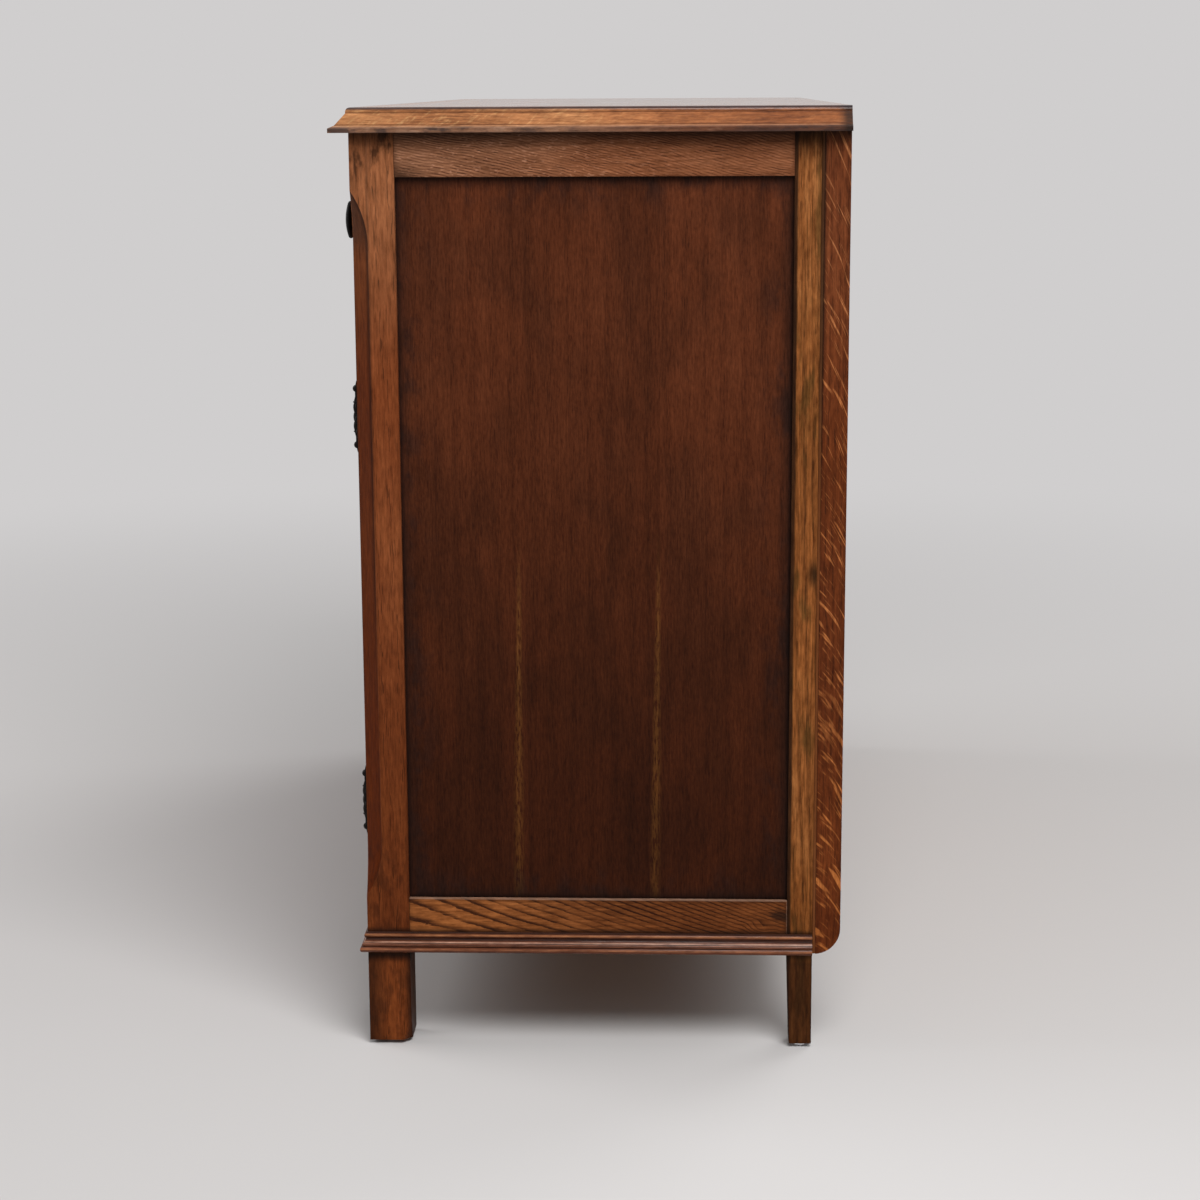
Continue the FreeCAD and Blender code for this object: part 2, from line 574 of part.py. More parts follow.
X_BASE = X_END + BASE_REACH
Y_BASE = Y_FACE - BASE_REACH
BASE_HEIGHTS = (LEG_HEIGHT, LEG_HEIGHT + BASE_HEIGHT)
front_base_run = base_moulding_face(lambda out, height: Vector(-X_BASE, Y_FACE - out, LEG_HEIGHT + height))
front_base_plan = [(-X_BASE, Y_BASE), (X_BASE, Y_BASE), (X_END, Y_FACE), (-X_END, Y_FACE)]
base_moulding_front = front_base_run.extrude(Vector(2 * X_BASE, 0, 0)).common(
    mitre_prism(front_base_plan, *BASE_HEIGHTS))
end_base_run = base_moulding_face(lambda out, height: Vector(X_END + out, Y_BASE, LEG_HEIGHT + height))
end_base_plan = [(X_BASE, Y_BASE), (X_BASE, Y_PLY), (X_END, Y_PLY), (X_END, Y_FACE)]
base_moulding_right = end_base_run.extrude(Vector(0, Y_PLY - Y_BASE, 0)).common(
    mitre_prism(end_base_plan, *BASE_HEIGHTS))

# Inside of the cupboards
Y_INSIDE = Y_FACE + BOTTOM_RAIL_THICKNESS
floor_wide = X_PANEL - FITTED_GAP
cupboard_floor = cuboid((-floor_wide, floor_wide), (Y_INSIDE, Y_PLY), (Z_RAIL, Z_FLOOR))
front_post_room = cuboid(
    (X_OPENING - FITTED_GAP, X_END), (Y_FACE, Y_POST_BACK + FITTED_GAP), (Z_RAIL, Z_FLOOR))
back_post_room = cuboid(
    (X_RUNNER_END - FITTED_GAP, X_END), (Y_BACK_POST - FITTED_GAP, Y_PLY), (Z_RAIL, Z_FLOOR))
cupboard_floor = cupboard_floor.cut(pair(front_post_room) + pair(back_post_room))
partition_half = PARTITION_THICKNESS / 2
partition = cuboid((-partition_half, partition_half), (Y_INSIDE, Y_PLY), (Z_FLOOR, Z_DOOR_TOP))
cleat_heights = (SHELF_HEIGHT - CLEAT_SIZE, SHELF_HEIGHT)
SHELF_SPAN_Y = (Y_FACE + SHELF_SETBACK, Y_BACK_POST - FITTED_GAP)
cleats = [cuboid(OPENING_SPAN, (Y_INSIDE, Y_INSIDE + CLEAT_SIZE), (Z_RAIL - CLEAT_SIZE, Z_RAIL))]
cleats += pair(cuboid((X_PANEL - CLEAT_SIZE, X_PANEL), END_SPAN_Y, cleat_heights))
cleats += pair(cuboid((partition_half, partition_half + CLEAT_SIZE), SHELF_SPAN_Y, cleat_heights))
shelf_heights = (SHELF_HEIGHT, SHELF_HEIGHT + SHELF_THICKNESS)
shelf_right = cuboid(
    (partition_half + FITTED_GAP, X_PANEL - FITTED_GAP), SHELF_SPAN_Y, shelf_heights)


# Knobs
def knob_with_shank(shank_length):
    """Round knob turned about Y, its rose on the plane Y = 0 and its face towards -Y."""
    head = KNOB_DIAMETER / 2
    rose = KNOB_ROSE_DIAMETER / 2
    neck = KNOB_NECK_DIAMETER / 2
    stud = KNOB_STUD_DIAMETER / 2
    rim = head - KNOB_RIM_SWELL
    sag = KNOB_FACE_RADIUS - math.sqrt(KNOB_FACE_RADIUS ** 2 - rim ** 2)
    half_sag = KNOB_FACE_RADIUS - math.sqrt(KNOB_FACE_RADIUS ** 2 - (rim / 2) ** 2)
    rim_front = KNOB_PROJECTION - sag
    rim_back = rim_front - KNOB_RIM
    rose_fall = KNOB_NECK_START - KNOB_ROSE_THICKNESS
    flare_rise = rim_back - KNOB_NECK_START
    rose_bend = Vector(rose - (rose - neck) * BOW, rose_fall * BOW - KNOB_NECK_START, 0)
    flare_bend = Vector(neck + (rim - neck) * (1 - BOW), -KNOB_NECK_START - flare_rise * BOW, 0)
    edges = [
        line(Vector(0, shank_length, 0), Vector(stud, shank_length, 0)),
        line(Vector(stud, shank_length, 0), Vector(stud, 0, 0)),
        line(Vector(stud, 0, 0), Vector(rose, 0, 0)),
        line(Vector(rose, 0, 0), Vector(rose, -KNOB_ROSE_THICKNESS, 0)),
        arc(Vector(rose, -KNOB_ROSE_THICKNESS, 0), rose_bend, Vector(neck, -KNOB_NECK_START, 0)),
        arc(Vector(neck, -KNOB_NECK_START, 0), flare_bend, Vector(rim, -rim_back, 0)),
        arc(Vector(rim, -rim_back, 0), Vector(head, -rim_back - KNOB_RIM / 2, 0), Vector(rim, -rim_front, 0)),
        arc(Vector(rim, -rim_front, 0), Vector(rim / 2, half_sag - KNOB_PROJECTION, 0),
            Vector(0, -KNOB_PROJECTION, 0)),
        line(Vector(0, -KNOB_PROJECTION, 0), Vector(0, shank_length, 0)),
    ]
    return face_of(edges).revolve(Vector(0, 0, 0), AXIS_Y, 360)


def moved(shape, x, y, z):
    copy = shape.copy()
    copy.translate(Vector(x, y, z))
    return copy


def stud_hole(x, z, depth):
    radius = KNOB_STUD_DIAMETER / 2 + RUNNING_CLEARANCE
    return Part.makeCylinder(radius, depth, Vector(x, Y_FACE, z), AXIS_Y)


# Right drawer
def dovetail(span_x, y_narrow, y_wide, z_low, z_high):
    """Dovetail key across a board, between two heights at its narrow end."""
    spread = DOVETAIL_SLOPE * abs(y_wide - y_narrow)
    points = (
        Vector(span_x[0], y_narrow, z_low),
        Vector(span_x[0], y_wide, z_low - spread),
        Vector(span_x[0], y_wide, z_high + spread),
        Vector(span_x[0], y_narrow, z_high),
    )
    return polygon_face(points).extrude(Vector(span_x[1] - span_x[0], 0, 0))


def right_drawer():
    """Front, sides, back, bottom and knobs of the right drawer, by name."""
    span_x = (X_CENTRE + DRAWER_GAP, X_OPENING - DRAWER_GAP)
    inner_x = grown(span_x, -DRAWER_SIDE_THICKNESS)
    sides_x = ((span_x[0], inner_x[0]), (inner_x[1], span_x[1]))
    y_front_back = Y_FACE + DRAWER_FRONT_THICKNESS
    y_end = Y_BACK_POST - DRAWER_BACK_ROOM
    y_back = y_end - DRAWER_BACK_THICKNESS
    z_side = (Z_DRAWER, Z_DRAWER + DRAWER_SIDE_HEIGHT)
    z_bottom = Z_DRAWER + DRAWER_BOTTOM_UP
    bottom_heights = (z_bottom, z_bottom + DRAWER_BOTTOM_THICKNESS)
    bottom_x = grown(inner_x, DRAWER_GROOVE)
    bottom = cuboid(bottom_x, (y_front_back - DRAWER_GROOVE, y_end), bottom_heights)
    groove = cuboid(
        grown(bottom_x, JOINT_END_GAP), (y_front_back - DRAWER_GROOVE - JOINT_END_GAP, y_end), bottom_heights)

    front = cuboid(
        span_x, (Y_FACE, y_front_back), (Z_DRAWER + DRAWER_GAP, Z_DRAWER_TOP - DRAWER_TOP_GAP))
    tail_spread = DOVETAIL_SLOPE * (DRAWER_FRONT_THICKNESS - DRAWER_LAP)
    tail_pitch = (DRAWER_SIDE_HEIGHT - DOVETAIL_PIN) / DOVETAIL_COUNT
    sides = []
    for side_x in sides_x:
        side = cuboid(side_x, (y_front_back, y_end), z_side)
        for index in range(DOVETAIL_COUNT):
            low = Z_DRAWER + DOVETAIL_PIN + index * tail_pitch + tail_spread
            high = Z_DRAWER + (index + 1) * tail_pitch - tail_spread
            tail = dovetail(side_x, y_front_back, Y_FACE + DRAWER_LAP, low, high)
            front = front.cut(tail)
            side = joined(side, tail)
        sides.append(side)

    back_heights = (bottom_heights[1], z_side[1] - DRAWER_BACK_DROP)
    back = cuboid(inner_x, (y_back, y_end), back_heights)
    pin_count = DOVETAIL_COUNT - 1
    pin_pitch = (back_heights[1] - back_heights[0]) / pin_count
    for index in range(pin_count):
        middle = back_heights[0] + (index + 0.5) * pin_pitch
        for place, side_x in enumerate(sides_x):
            pin = dovetail(side_x, y_end, y_back, middle - DOVETAIL_PIN / 2, middle + DOVETAIL_PIN / 2)
            back = joined(back, pin)
            sides[place] = sides[place].cut(pin)

    knob = knob_with_shank(KNOB_STUD_LENGTH)
    quarter = (span_x[1] - span_x[0]) / 4
    knob_z = (Z_DRAWER + Z_DRAWER_TOP) / 2
    knob_places = (span_x[0] + quarter, span_x[1] - quarter)
    holes = [stud_hole(x, knob_z, KNOB_STUD_LENGTH + JOINT_END_GAP) for x in knob_places]
    return {
        "drawer_front": [front.cut(holes + [groove])],
        "drawer_sides": [side.cut(groove) for side in sides],
        "drawer_back": [back],
        "drawer_bottom": [bottom],
        "drawer_knobs": [moved(knob, x, Y_FACE, knob_z) for x in knob_places],
    }


# Hinges
def knuckle_between(low, high):
    """Barrel about the pin axis Z, fullest at half its height."""
    full = HINGE_KNUCKLE_DIAMETER / 2
    slim = full - HINGE_KNUCKLE_SWELL
    edges = [
        line(Vector(0, 0, low), Vector(slim, 0, low)),
        arc(Vector(slim, 0, low), Vector(full, 0, (low + high) / 2), Vector(slim, 0, high)),
        line(Vector(slim, 0, high), Vector(0, 0, high)),
        line(Vector(0, 0, high), Vector(0, 0, low)),
    ]
    return face_of(edges).revolve(Vector(0, 0, 0), AXIS_Z, 360)


def hinge_leaf(direction, own_knuckles):
    """Butterfly leaf about the pin axis Z, lying on the wood behind it.

    direction is 1 towards +X or -1 towards -X; own_knuckles are the heights of its knuckles.
    """
    wood = HINGE_FACE_GAP + HINGE_KNUCKLE_DIAMETER / 2
    face = wood - HINGE_LEAF_THICKNESS
    half = HINGE_HALF_HEIGHT
    thick = (face, wood)
    plate = cuboid((0, HINGE_ROOT_WIDTH), thick, (-half, half))
    lobes = (
        (HINGE_ROOT_WIDTH, HINGE_WING_RISE, HINGE_WING_RADIUS),
        (HINGE_ROOT_WIDTH, -HINGE_WING_RISE, HINGE_WING_RADIUS),
        (HINGE_TIP_REACH, 0, HINGE_TIP_RADIUS),
    )
    discs = [
        Part.makeCylinder(radius, HINGE_LEAF_THICKNESS, Vector(x, face, z), AXIS_Y) for x, z, radius in lobes]
    plate = joined(plate, *discs)
    holes = [
        Part.makeCylinder(HINGE_SCREW_HOLE / 2, HINGE_LEAF_THICKNESS, Vector(x, face, z), AXIS_Y)
        for x, z, radius in lobes]
    eye = Vector((HINGE_CUT_BACK + HINGE_TIP_REACH - HINGE_SCREW_HOLE / 2) / 2, face, 0)
    holes.append(Part.makeCylinder(HINGE_EYE_DIAMETER / 2, HINGE_LEAF_THICKNESS, eye, AXIS_Y))
    edge = cuboid((0, HINGE_CUT_BACK), thick, (-half, half))
    plate = plate.cut(holes + [edge])
    for low, high in own_knuckles:
        web = cuboid((0, HINGE_CUT_BACK), thick, (low, high))
        plate = joined(plate, web, knuckle_between(low, high))
    bore = HINGE_PIN_DIAMETER / 2 + RUNNING_CLEARANCE
    plate = plate.cut(Part.makeCylinder(bore, 2 * half, Vector(0, 0, -half)))
    return plate if direction > 0 else mirrored(plate)


def hinge_pin():
    """Pin about Z with a collar, neck, ball and tip at each end."""
    pin = HINGE_PIN_DIAMETER / 2
    collar = HINGE_KNUCKLE_DIAMETER / 2
    collar_foot = collar - HINGE_KNUCKLE_SWELL
    neck = FINIAL_NECK_DIAMETER / 2
    ball = FINIAL_BALL_DIAMETER / 2
    tip = FINIAL_TIP_DIAMETER / 2
    seat = HINGE_HALF_HEIGHT
    collar_top = seat + FINIAL_COLLAR
    ball_low = FINIAL_BALL_RISE - math.sqrt(ball ** 2 - neck ** 2)
    ball_high = FINIAL_BALL_RISE + math.sqrt(ball ** 2 - tip ** 2)
    edges = [
        line(Vector(0, 0, 0), Vector(pin, 0, 0)),
        line(Vector(pin, 0, 0), Vector(pin, 0, seat)),
        line(Vector(pin, 0, seat), Vector(collar_foot, 0, seat)),
        arc(Vector(collar_foot, 0, seat), Vector(collar, 0, seat + FINIAL_COLLAR / 2),
            Vector(collar_foot, 0, collar_top)),
        line(Vector(collar_foot, 0, collar_top), Vector(neck, 0, (collar_top + ball_low) / 2)),
        line(Vector(neck, 0, (collar_top + ball_low) / 2), Vector(neck, 0, ball_low)),
        arc(Vector(neck, 0, ball_low), Vector(ball, 0, FINIAL_BALL_RISE), Vector(tip, 0, ball_high)),
        line(Vector(tip, 0, ball_high), Vector(0, 0, FINIAL_HEIGHT)),
        line(Vector(0, 0, FINIAL_HEIGHT), Vector(0, 0, 0)),
    ]
    upper = face_of(edges).revolve(Vector(0, 0, 0), AXIS_Z, 360)
    return joined(upper, upper.mirror(Vector(0, 0, 0), AXIS_Z))


half_knuckle = HINGE_KNUCKLE_LENGTH / 2
outer_start = half_knuckle + HINGE_KNUCKLE_GAP
outer_end = outer_start + HINGE_KNUCKLE_LENGTH
post_leaf = hinge_leaf(1, ((outer_start, outer_end), (-outer_end, -outer_start)))
door_leaf = hinge_leaf(-1, ((-half_knuckle, half_knuckle),))
hinge_post_leaves = []
hinge_pins = []
for level in HINGE_LEVELS:
    hinge_post_leaves += pair(moved(post_leaf, X_HINGE, Y_HINGE, level))
    hinge_pins += pair(moved(hinge_pin(), X_HINGE, Y_HINGE, level))


# Right door
def right_door():
    """Stiles, rails, panel, hinge leaves, knob and catch of the right door, by name."""
    span_x = (X_CENTRE + DOOR_GAP, X_OPENING - DOOR_GAP)
    span_z = (Z_RAIL + DOOR_GAP, Z_DOOR_TOP - DOOR_GAP)
    span_y = (Y_FACE, Y_FACE + DOOR_THICKNESS)
    inner_x = grown(span_x, -DOOR_STILE_WIDTH)
    inner_z = (span_z[0] + DOOR_BOTTOM_RAIL_HEIGHT, span_z[1] - DOOR_TOP_RAIL_HEIGHT)
    panel_y = (Y_FACE + DOOR_PANEL_RECESS, Y_FACE + DOOR_PANEL_RECESS + DOOR_PANEL_THICKNESS)
    groove = cuboid(grown(inner_x, PANEL_GROOVE), panel_y, grown(inner_z, PANEL_GROOVE))
    panel = cuboid(grown(inner_x, panel_edge), panel_y, grown(inner_z, panel_edge))

    tenons = (DOOR_TENON_LENGTH, DOOR_TENON_LENGTH)
    shoulders = (0.0, TENON_SHOULDER, HAUNCH_SHOULDER)
    top_rail, top_mortise = member(0, (inner_x, span_y, (inner_z[1], span_z[1])), tenons, shoulders)
    low_rail, low_mortise = member(0, (inner_x, span_y, (span_z[0], inner_z[0])), tenons, shoulders)
    knob_x = span_x[0] + DOOR_STILE_WIDTH / 2
    spindle_hole = stud_hole(knob_x, DOOR_KNOB_HEIGHT, DOOR_THICKNESS)
    cutters = [groove, top_mortise, low_mortise, spindle_hole]
    stiles = [
        cuboid((span_x[0], inner_x[0]), span_y, span_z).cut(cutters),
        cuboid((inner_x[1], span_x[1]), span_y, span_z).cut(cutters),
    ]

    catch_front = BOTTOM_RAIL_THICKNESS + CATCH_GAP
    square = CATCH_SQUARE / 2
    tail_end = catch_front + CATCH_THICKNESS + CATCH_RIVET
    knob = joined(
        knob_with_shank(catch_front), cuboid((-square, square), (catch_front, tail_end), (-square, square)))
    reach = knob_x - X_CENTRE + CATCH_HOLD
    half_width = CATCH_WIDTH / 2
    catch_y = (catch_front, catch_front + CATCH_THICKNESS)
    eye = grown((-square, square), RUNNING_CLEARANCE)
    catch = joined(
        Part.makeCylinder(half_width, CATCH_THICKNESS, Vector(0, catch_front, 0), AXIS_Y),
        cuboid((-half_width, half_width), catch_y, (0, reach - half_width)),
        Part.makeCylinder(half_width, CATCH_THICKNESS, Vector(0, catch_front, reach - half_width), AXIS_Y),
    ).cut(cuboid(eye, catch_y, eye))
    return {
        "door_stiles": stiles,
        "door_rails": [top_rail.cut(groove), low_rail.cut(groove)],
        "door_panel": [panel],
        "door_hinge_leaves": [moved(door_leaf, X_HINGE, Y_HINGE, level) for level in HINGE_LEVELS],
        "door_knob": [moved(knob, knob_x, Y_FACE, DOOR_KNOB_HEIGHT)],
        "door_catch": [moved(catch, knob_x, Y_FACE, DOOR_KNOB_HEIGHT)],
    }


# Nodes
nodes = {
    "top_panel": [top_panel],
    "top_edge_front": [top_edge_front],
    "front_top_rail": [front_top_rail],
    "drawer_rail": [drawer_rail],
    "front_bottom_rail": [front_bottom_rail],
    "drawer_divider": [drawer_divider],
    "centre_stile": [centre_stile],
    "base_moulding_front": [base_moulding_front],
    "back_rails": back_rails,
    "back_panel": [back_panel],
    "partition": [partition],
    "cupboard_floor": [cupboard_floor],
    "cleats": cleats,
    "drawer_runners": drawer_runners,
    "drawer_guides": drawer_guides,
    "drawer_kickers": drawer_kickers,
    "drawer_stops": drawer_stops,
    "glides": glides,
    "hinge_post_leaves": hinge_post_leaves,
    "hinge_pins": hinge_pins,
}
right_hand_pieces = {
    "top_edge": [top_edge_right],
    "front_post": [front_post],
    "back_post": [back_post],
    "wall_strip": [wall_strip_right()],
    "end_top_rail": [end_top_rail],
    "end_bottom_rail": [end_bottom_rail],
    "end_panel": [end_panel],
    "base_moulding": [base_moulding_right],
    "shelf": [shelf_right],
}
right_hand_pieces.update(right_drawer())
right_hand_pieces.update(right_door())
for name, solids in right_hand_pieces.items():
    nodes[name + "_right"] = solids
    nodes[name + "_left"] = [mirrored(solid) for solid in solids]

os.makedirs("parts", exist_ok=True)
for name, solids in nodes.items():
    shape = solids[0] if len(solids) == 1 else Part.makeCompound(solids)
    shape.exportStep("parts/" + name + ".step")
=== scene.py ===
import math
import random

import bmesh
import bpy
from mathutils import Matrix, Vector


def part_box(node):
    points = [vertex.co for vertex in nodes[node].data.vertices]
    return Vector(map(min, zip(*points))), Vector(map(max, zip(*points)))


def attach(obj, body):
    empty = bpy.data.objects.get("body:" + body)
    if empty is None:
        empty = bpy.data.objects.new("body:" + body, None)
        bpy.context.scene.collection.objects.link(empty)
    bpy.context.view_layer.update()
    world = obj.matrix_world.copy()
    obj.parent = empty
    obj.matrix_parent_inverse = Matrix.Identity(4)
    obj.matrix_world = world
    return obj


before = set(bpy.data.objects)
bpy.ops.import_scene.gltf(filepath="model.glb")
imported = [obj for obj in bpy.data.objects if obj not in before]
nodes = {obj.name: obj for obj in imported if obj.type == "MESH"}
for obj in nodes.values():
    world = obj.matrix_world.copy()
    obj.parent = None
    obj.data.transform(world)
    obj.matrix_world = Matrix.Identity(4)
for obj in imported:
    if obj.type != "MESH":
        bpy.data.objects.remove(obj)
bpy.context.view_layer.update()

# Looks of the oak sideboard: finishes, soft arrises, small fasteners, floor, light and camera.
# Metres. The right-hand end, at +X, faces the camera, and the front faces -Y.

SIDES = ("right", "left")
ALONG_X, ALONG_Y, ALONG_Z = range(3)

# Sockets of the Mix node when it mixes colours
MIX_FACTOR = 0
MIX_FIRST = 6
MIX_SECOND = 7
MIX_RESULT = 2


# Node materials
def srgb(red, green, blue):
    """Linear colour from screen values of 0 to 255."""
    shares = [value / 255 for value in (red, green, blue)]
    return tuple(s / 12.92 if s <= 0.04045 else ((s + 0.055) / 1.055) ** 2.4 for s in shares) + (1.0,)


class Graph:
    """The nodes of a material or world. Values are numbers, tuples or the sockets of other nodes."""

    def __init__(self, owner):
        owner.use_nodes = True
        self.owner = owner
        self.tree = owner.node_tree
        self.tree.nodes.clear()

    def put(self, socket, value):
        if isinstance(value, bpy.types.NodeSocket):
            self.tree.links.new(value, socket)
        else:
            socket.default_value = value

    def node(self, kind, inputs=(), **settings):
        made = self.tree.nodes.new(kind)
        for key, value in settings.items():
            setattr(made, key, value)
        for key, value in dict(inputs).items():
            self.put(made.inputs[key], value)
        return made

    def math(self, operation, *values):
        return self.node("ShaderNodeMath", enumerate(values), operation=operation).outputs[0]

    def chain(self, operation, values):
        total = values[0]
        for value in values[1:]:
            total = self.math(operation, total, value)
        return total

    def add(self, *values):
        return self.chain("ADD", values)

    def times(self, *values):
        return self.chain("MULTIPLY", values)

    def least(self, *values):
        return self.chain("MINIMUM", values)

    def most(self, *values):
        return self.chain("MAXIMUM", values)

    def less(self, value, taken):
        return self.math("SUBTRACT", value, taken)

    def size(self, value):
        return self.math("ABSOLUTE", value)

    def wrap(self, value, length):
        return self.math("FLOORED_MODULO", value, length)

    def length(self, x, y):
        return self.math("SQRT", self.add(self.times(x, x), self.times(y, y)))

    def swing(self, value, amount):
        """Half-centred value, scaled: nought at 0.5."""
        return self.times(self.less(value, 0.5), amount)

    def vector(self, x, y, z):
        return self.node("ShaderNodeCombineXYZ", {0: x, 1: y, 2: z}).outputs[0]

    def place(self):
        """X, Y and Z on the piece, in metres, where it is at rest."""
        spot = self.node("ShaderNodeTexCoord").outputs["Object"]
        return list(self.node("ShaderNodeSeparateXYZ", {0: spot}).outputs)

    def noise(self, vector, scale, detail=2.0, roughness=0.5):
        inputs = {"Vector": vector, "Scale": scale, "Detail": detail, "Roughness": roughness}
        return self.node("ShaderNodeTexNoise", inputs).outputs[0]

    def drawn(self, place, axis, share, scale, detail=3.0, roughness=0.6):
        """Noise drawn out along an axis, of which only a share of the way counts."""
        spot = list(place)
        spot[axis] = self.times(spot[axis], share)
        return self.noise(self.vector(*spot), scale, detail, roughness)

    def fade(self, value, start, end, low=0.0, high=1.0):
        """Smooth step from low at start to high at end."""
        if start > end:
            start, end, low, high = end, start, high, low
        inputs = {"Value": value, "From Min": start, "From Max": end, "To Min": low, "To Max": high}
        return self.node("ShaderNodeMapRange", inputs, interpolation_type="SMOOTHSTEP").outputs[0]

    def near(self, value, level, reach):
        """One at a level, falling to nought at a reach on either side."""
        return self.fade(self.size(self.less(value, level)), reach, 0.0)

    def ramp(self, factor, stops):
        made = self.node("ShaderNodeValToRGB", {0: factor})
        elements = made.color_ramp.elements
        while len(elements) < len(stops):
            elements.new(1.0)
        for element, (position, colour) in zip(elements, stops):
            element.position = position
            element.color = colour
        return made.outputs[0]

    def mix(self, factor, first, second, blend="MIX"):
        inputs = {MIX_FACTOR: factor, MIX_FIRST: first, MIX_SECOND: second}
        return self.node("ShaderNodeMix", inputs, data_type="RGBA", blend_type=blend).outputs[MIX_RESULT]

    def stain(self, colour, tone, *factors):
        """Lays a tone over a colour, as far as the product of the factors."""
        return self.mix(self.times(*factors), colour, tone)

    def tint(self, colour, shares, *factors):
        """Scales red, green and blue, keeping the grain, as far as the product of the factors."""
        return self.mix(self.times(*factors), colour, shares + (1.0,), "MULTIPLY")

    def wash(self, colour, value, washes):
        """Tints that come in along a value, each with its span and its shares of red, green and blue."""
        for span, shares in washes:
            colour = self.tint(colour, shares, self.fade(value, *span))
        return colour

    def bump(self, height, distance, strength):
        inputs = {"Height": height, "Distance": distance, "Strength": strength}
        return self.node("ShaderNodeBump", inputs).outputs[0]

    def seen(self):
        """One for the rays that show the background: to the camera, in gloss and through glass."""
        rays = self.node("ShaderNodeLightPath").outputs
        return self.most(rays["Is Camera Ray"], rays["Is Glossy Ray"], rays["Is Transmission Ray"])

    def surface(self, shader, kind="ShaderNodeOutputMaterial"):
        self.node(kind, {"Surface": shader})
        return self.owner

    def principled(self, **values):
        """A finished material; the shader's sockets are named with underscores for spaces."""
        inputs = {key.replace("_", " "): value for key, value in values.items()}
        return self.surface(self.node("ShaderNodeBsdfPrincipled", inputs).outputs[0])


def new_material(name):
    return Graph(bpy.data.materials.new(name))


# Wood. Noise along the grain has the share of the way that counts, its scale, detail and roughness.
# A span is where a change starts and where it is full, and may go on with its strength at the two.
STREAKS = (0.07, 420.0, 3.0, 0.7)
MOTTLE = (0.3, 300.0, 3.0, 0.7)
PORES = (0.05, 1400.0, 0.0, 0.5)
STAIN = (0.35, 26.0, 3.0, 0.6)
STRAIGHT_WAVE = (0.22, 11.0, 2.0, 0.5)
CROWN_WAVE = (0.3, 9.0, 2.0, 0.5)
CROWN_WARP = 0.012
PORE_SPAN = (0.60, 0.68)
BREAK_SPAN = (0.40, 0.60)
PATCH_SPAN = (0.60, 0.35)
GRIME_SPAN = (0.3, 0.65, 0.45, 1.0)
EVEN_TONE = 0.56
MIDDLE_TONE = 0.55
LATE_PORES = 0.35
GRAIN_DARK = (0.58, 0.52, 0.46, 1.0)
GRAIN_LIGHT = (1.42, 1.48, 1.54, 1.0)
MOTTLE_SHARE = 0.9
STREAK_RELIEF = 0.6
PORE_RELIEF = -0.5
RING_RELIEF = -0.25
RELIEF_DEPTH = 0.0005
RELIEF_STRENGTH = 0.3
ROUGH_SPAN = (0.3, 0.7)
PORE_ROUGHNESS = 0.08
COAT_ROUGHNESS = 0.17


def grained(g, way, settings, fineness=1.0):
    """Noise drawn out along the grain, which is the first direction of the way."""
    share, scale, detail, roughness = settings
    return g.drawn(way, 0, share, scale * fineness, detail, roughness)


def straight_figure(spacing, lean=0.0, warp=0.004, turn=0.6):
    """Growth rings as nearly straight lines. Lean slants them to the grain and turn mixes face and edge."""
    def phase(g, way):
        along, a, b = way
        wave = grained(g, way, STRAIGHT_WAVE)
        across = g.add(g.times(a, math.cos(turn)), g.times(b, math.sin(turn)), g.times(along, lean))
        return g.times(g.add(across, g.swing(wave, 2 * warp)), 1 / spacing)
    return phase


def crown_figure(spacing, side, centre, depth, taper):
    """Rings of a board sawn clear of the heart: arches about a centre line across the board."""
    def phase(g, way):
        along, *across = way
        wave = grained(g, way, CROWN_WAVE)
        off = g.less(g.size(across[side]), centre)
        heart = g.add(depth, g.times(along, taper), g.swing(wave, CROWN_WARP))
        return g.times(g.length(off, heart), 1 / spacing)
    return phase


def edge_distance(g, place, box):
    """Distance from the nearest arris of a box; X is taken on the right-hand side."""
    x, y, z = place
    gaps = []
    for value, (low, high) in zip((g.size(x), y, z), box):
        gaps.append(g.least(g.less(value, low), g.less(high, value)))
    first, second, third = gaps
    return g.most(g.least(first, second), g.least(g.most(first, second), third))


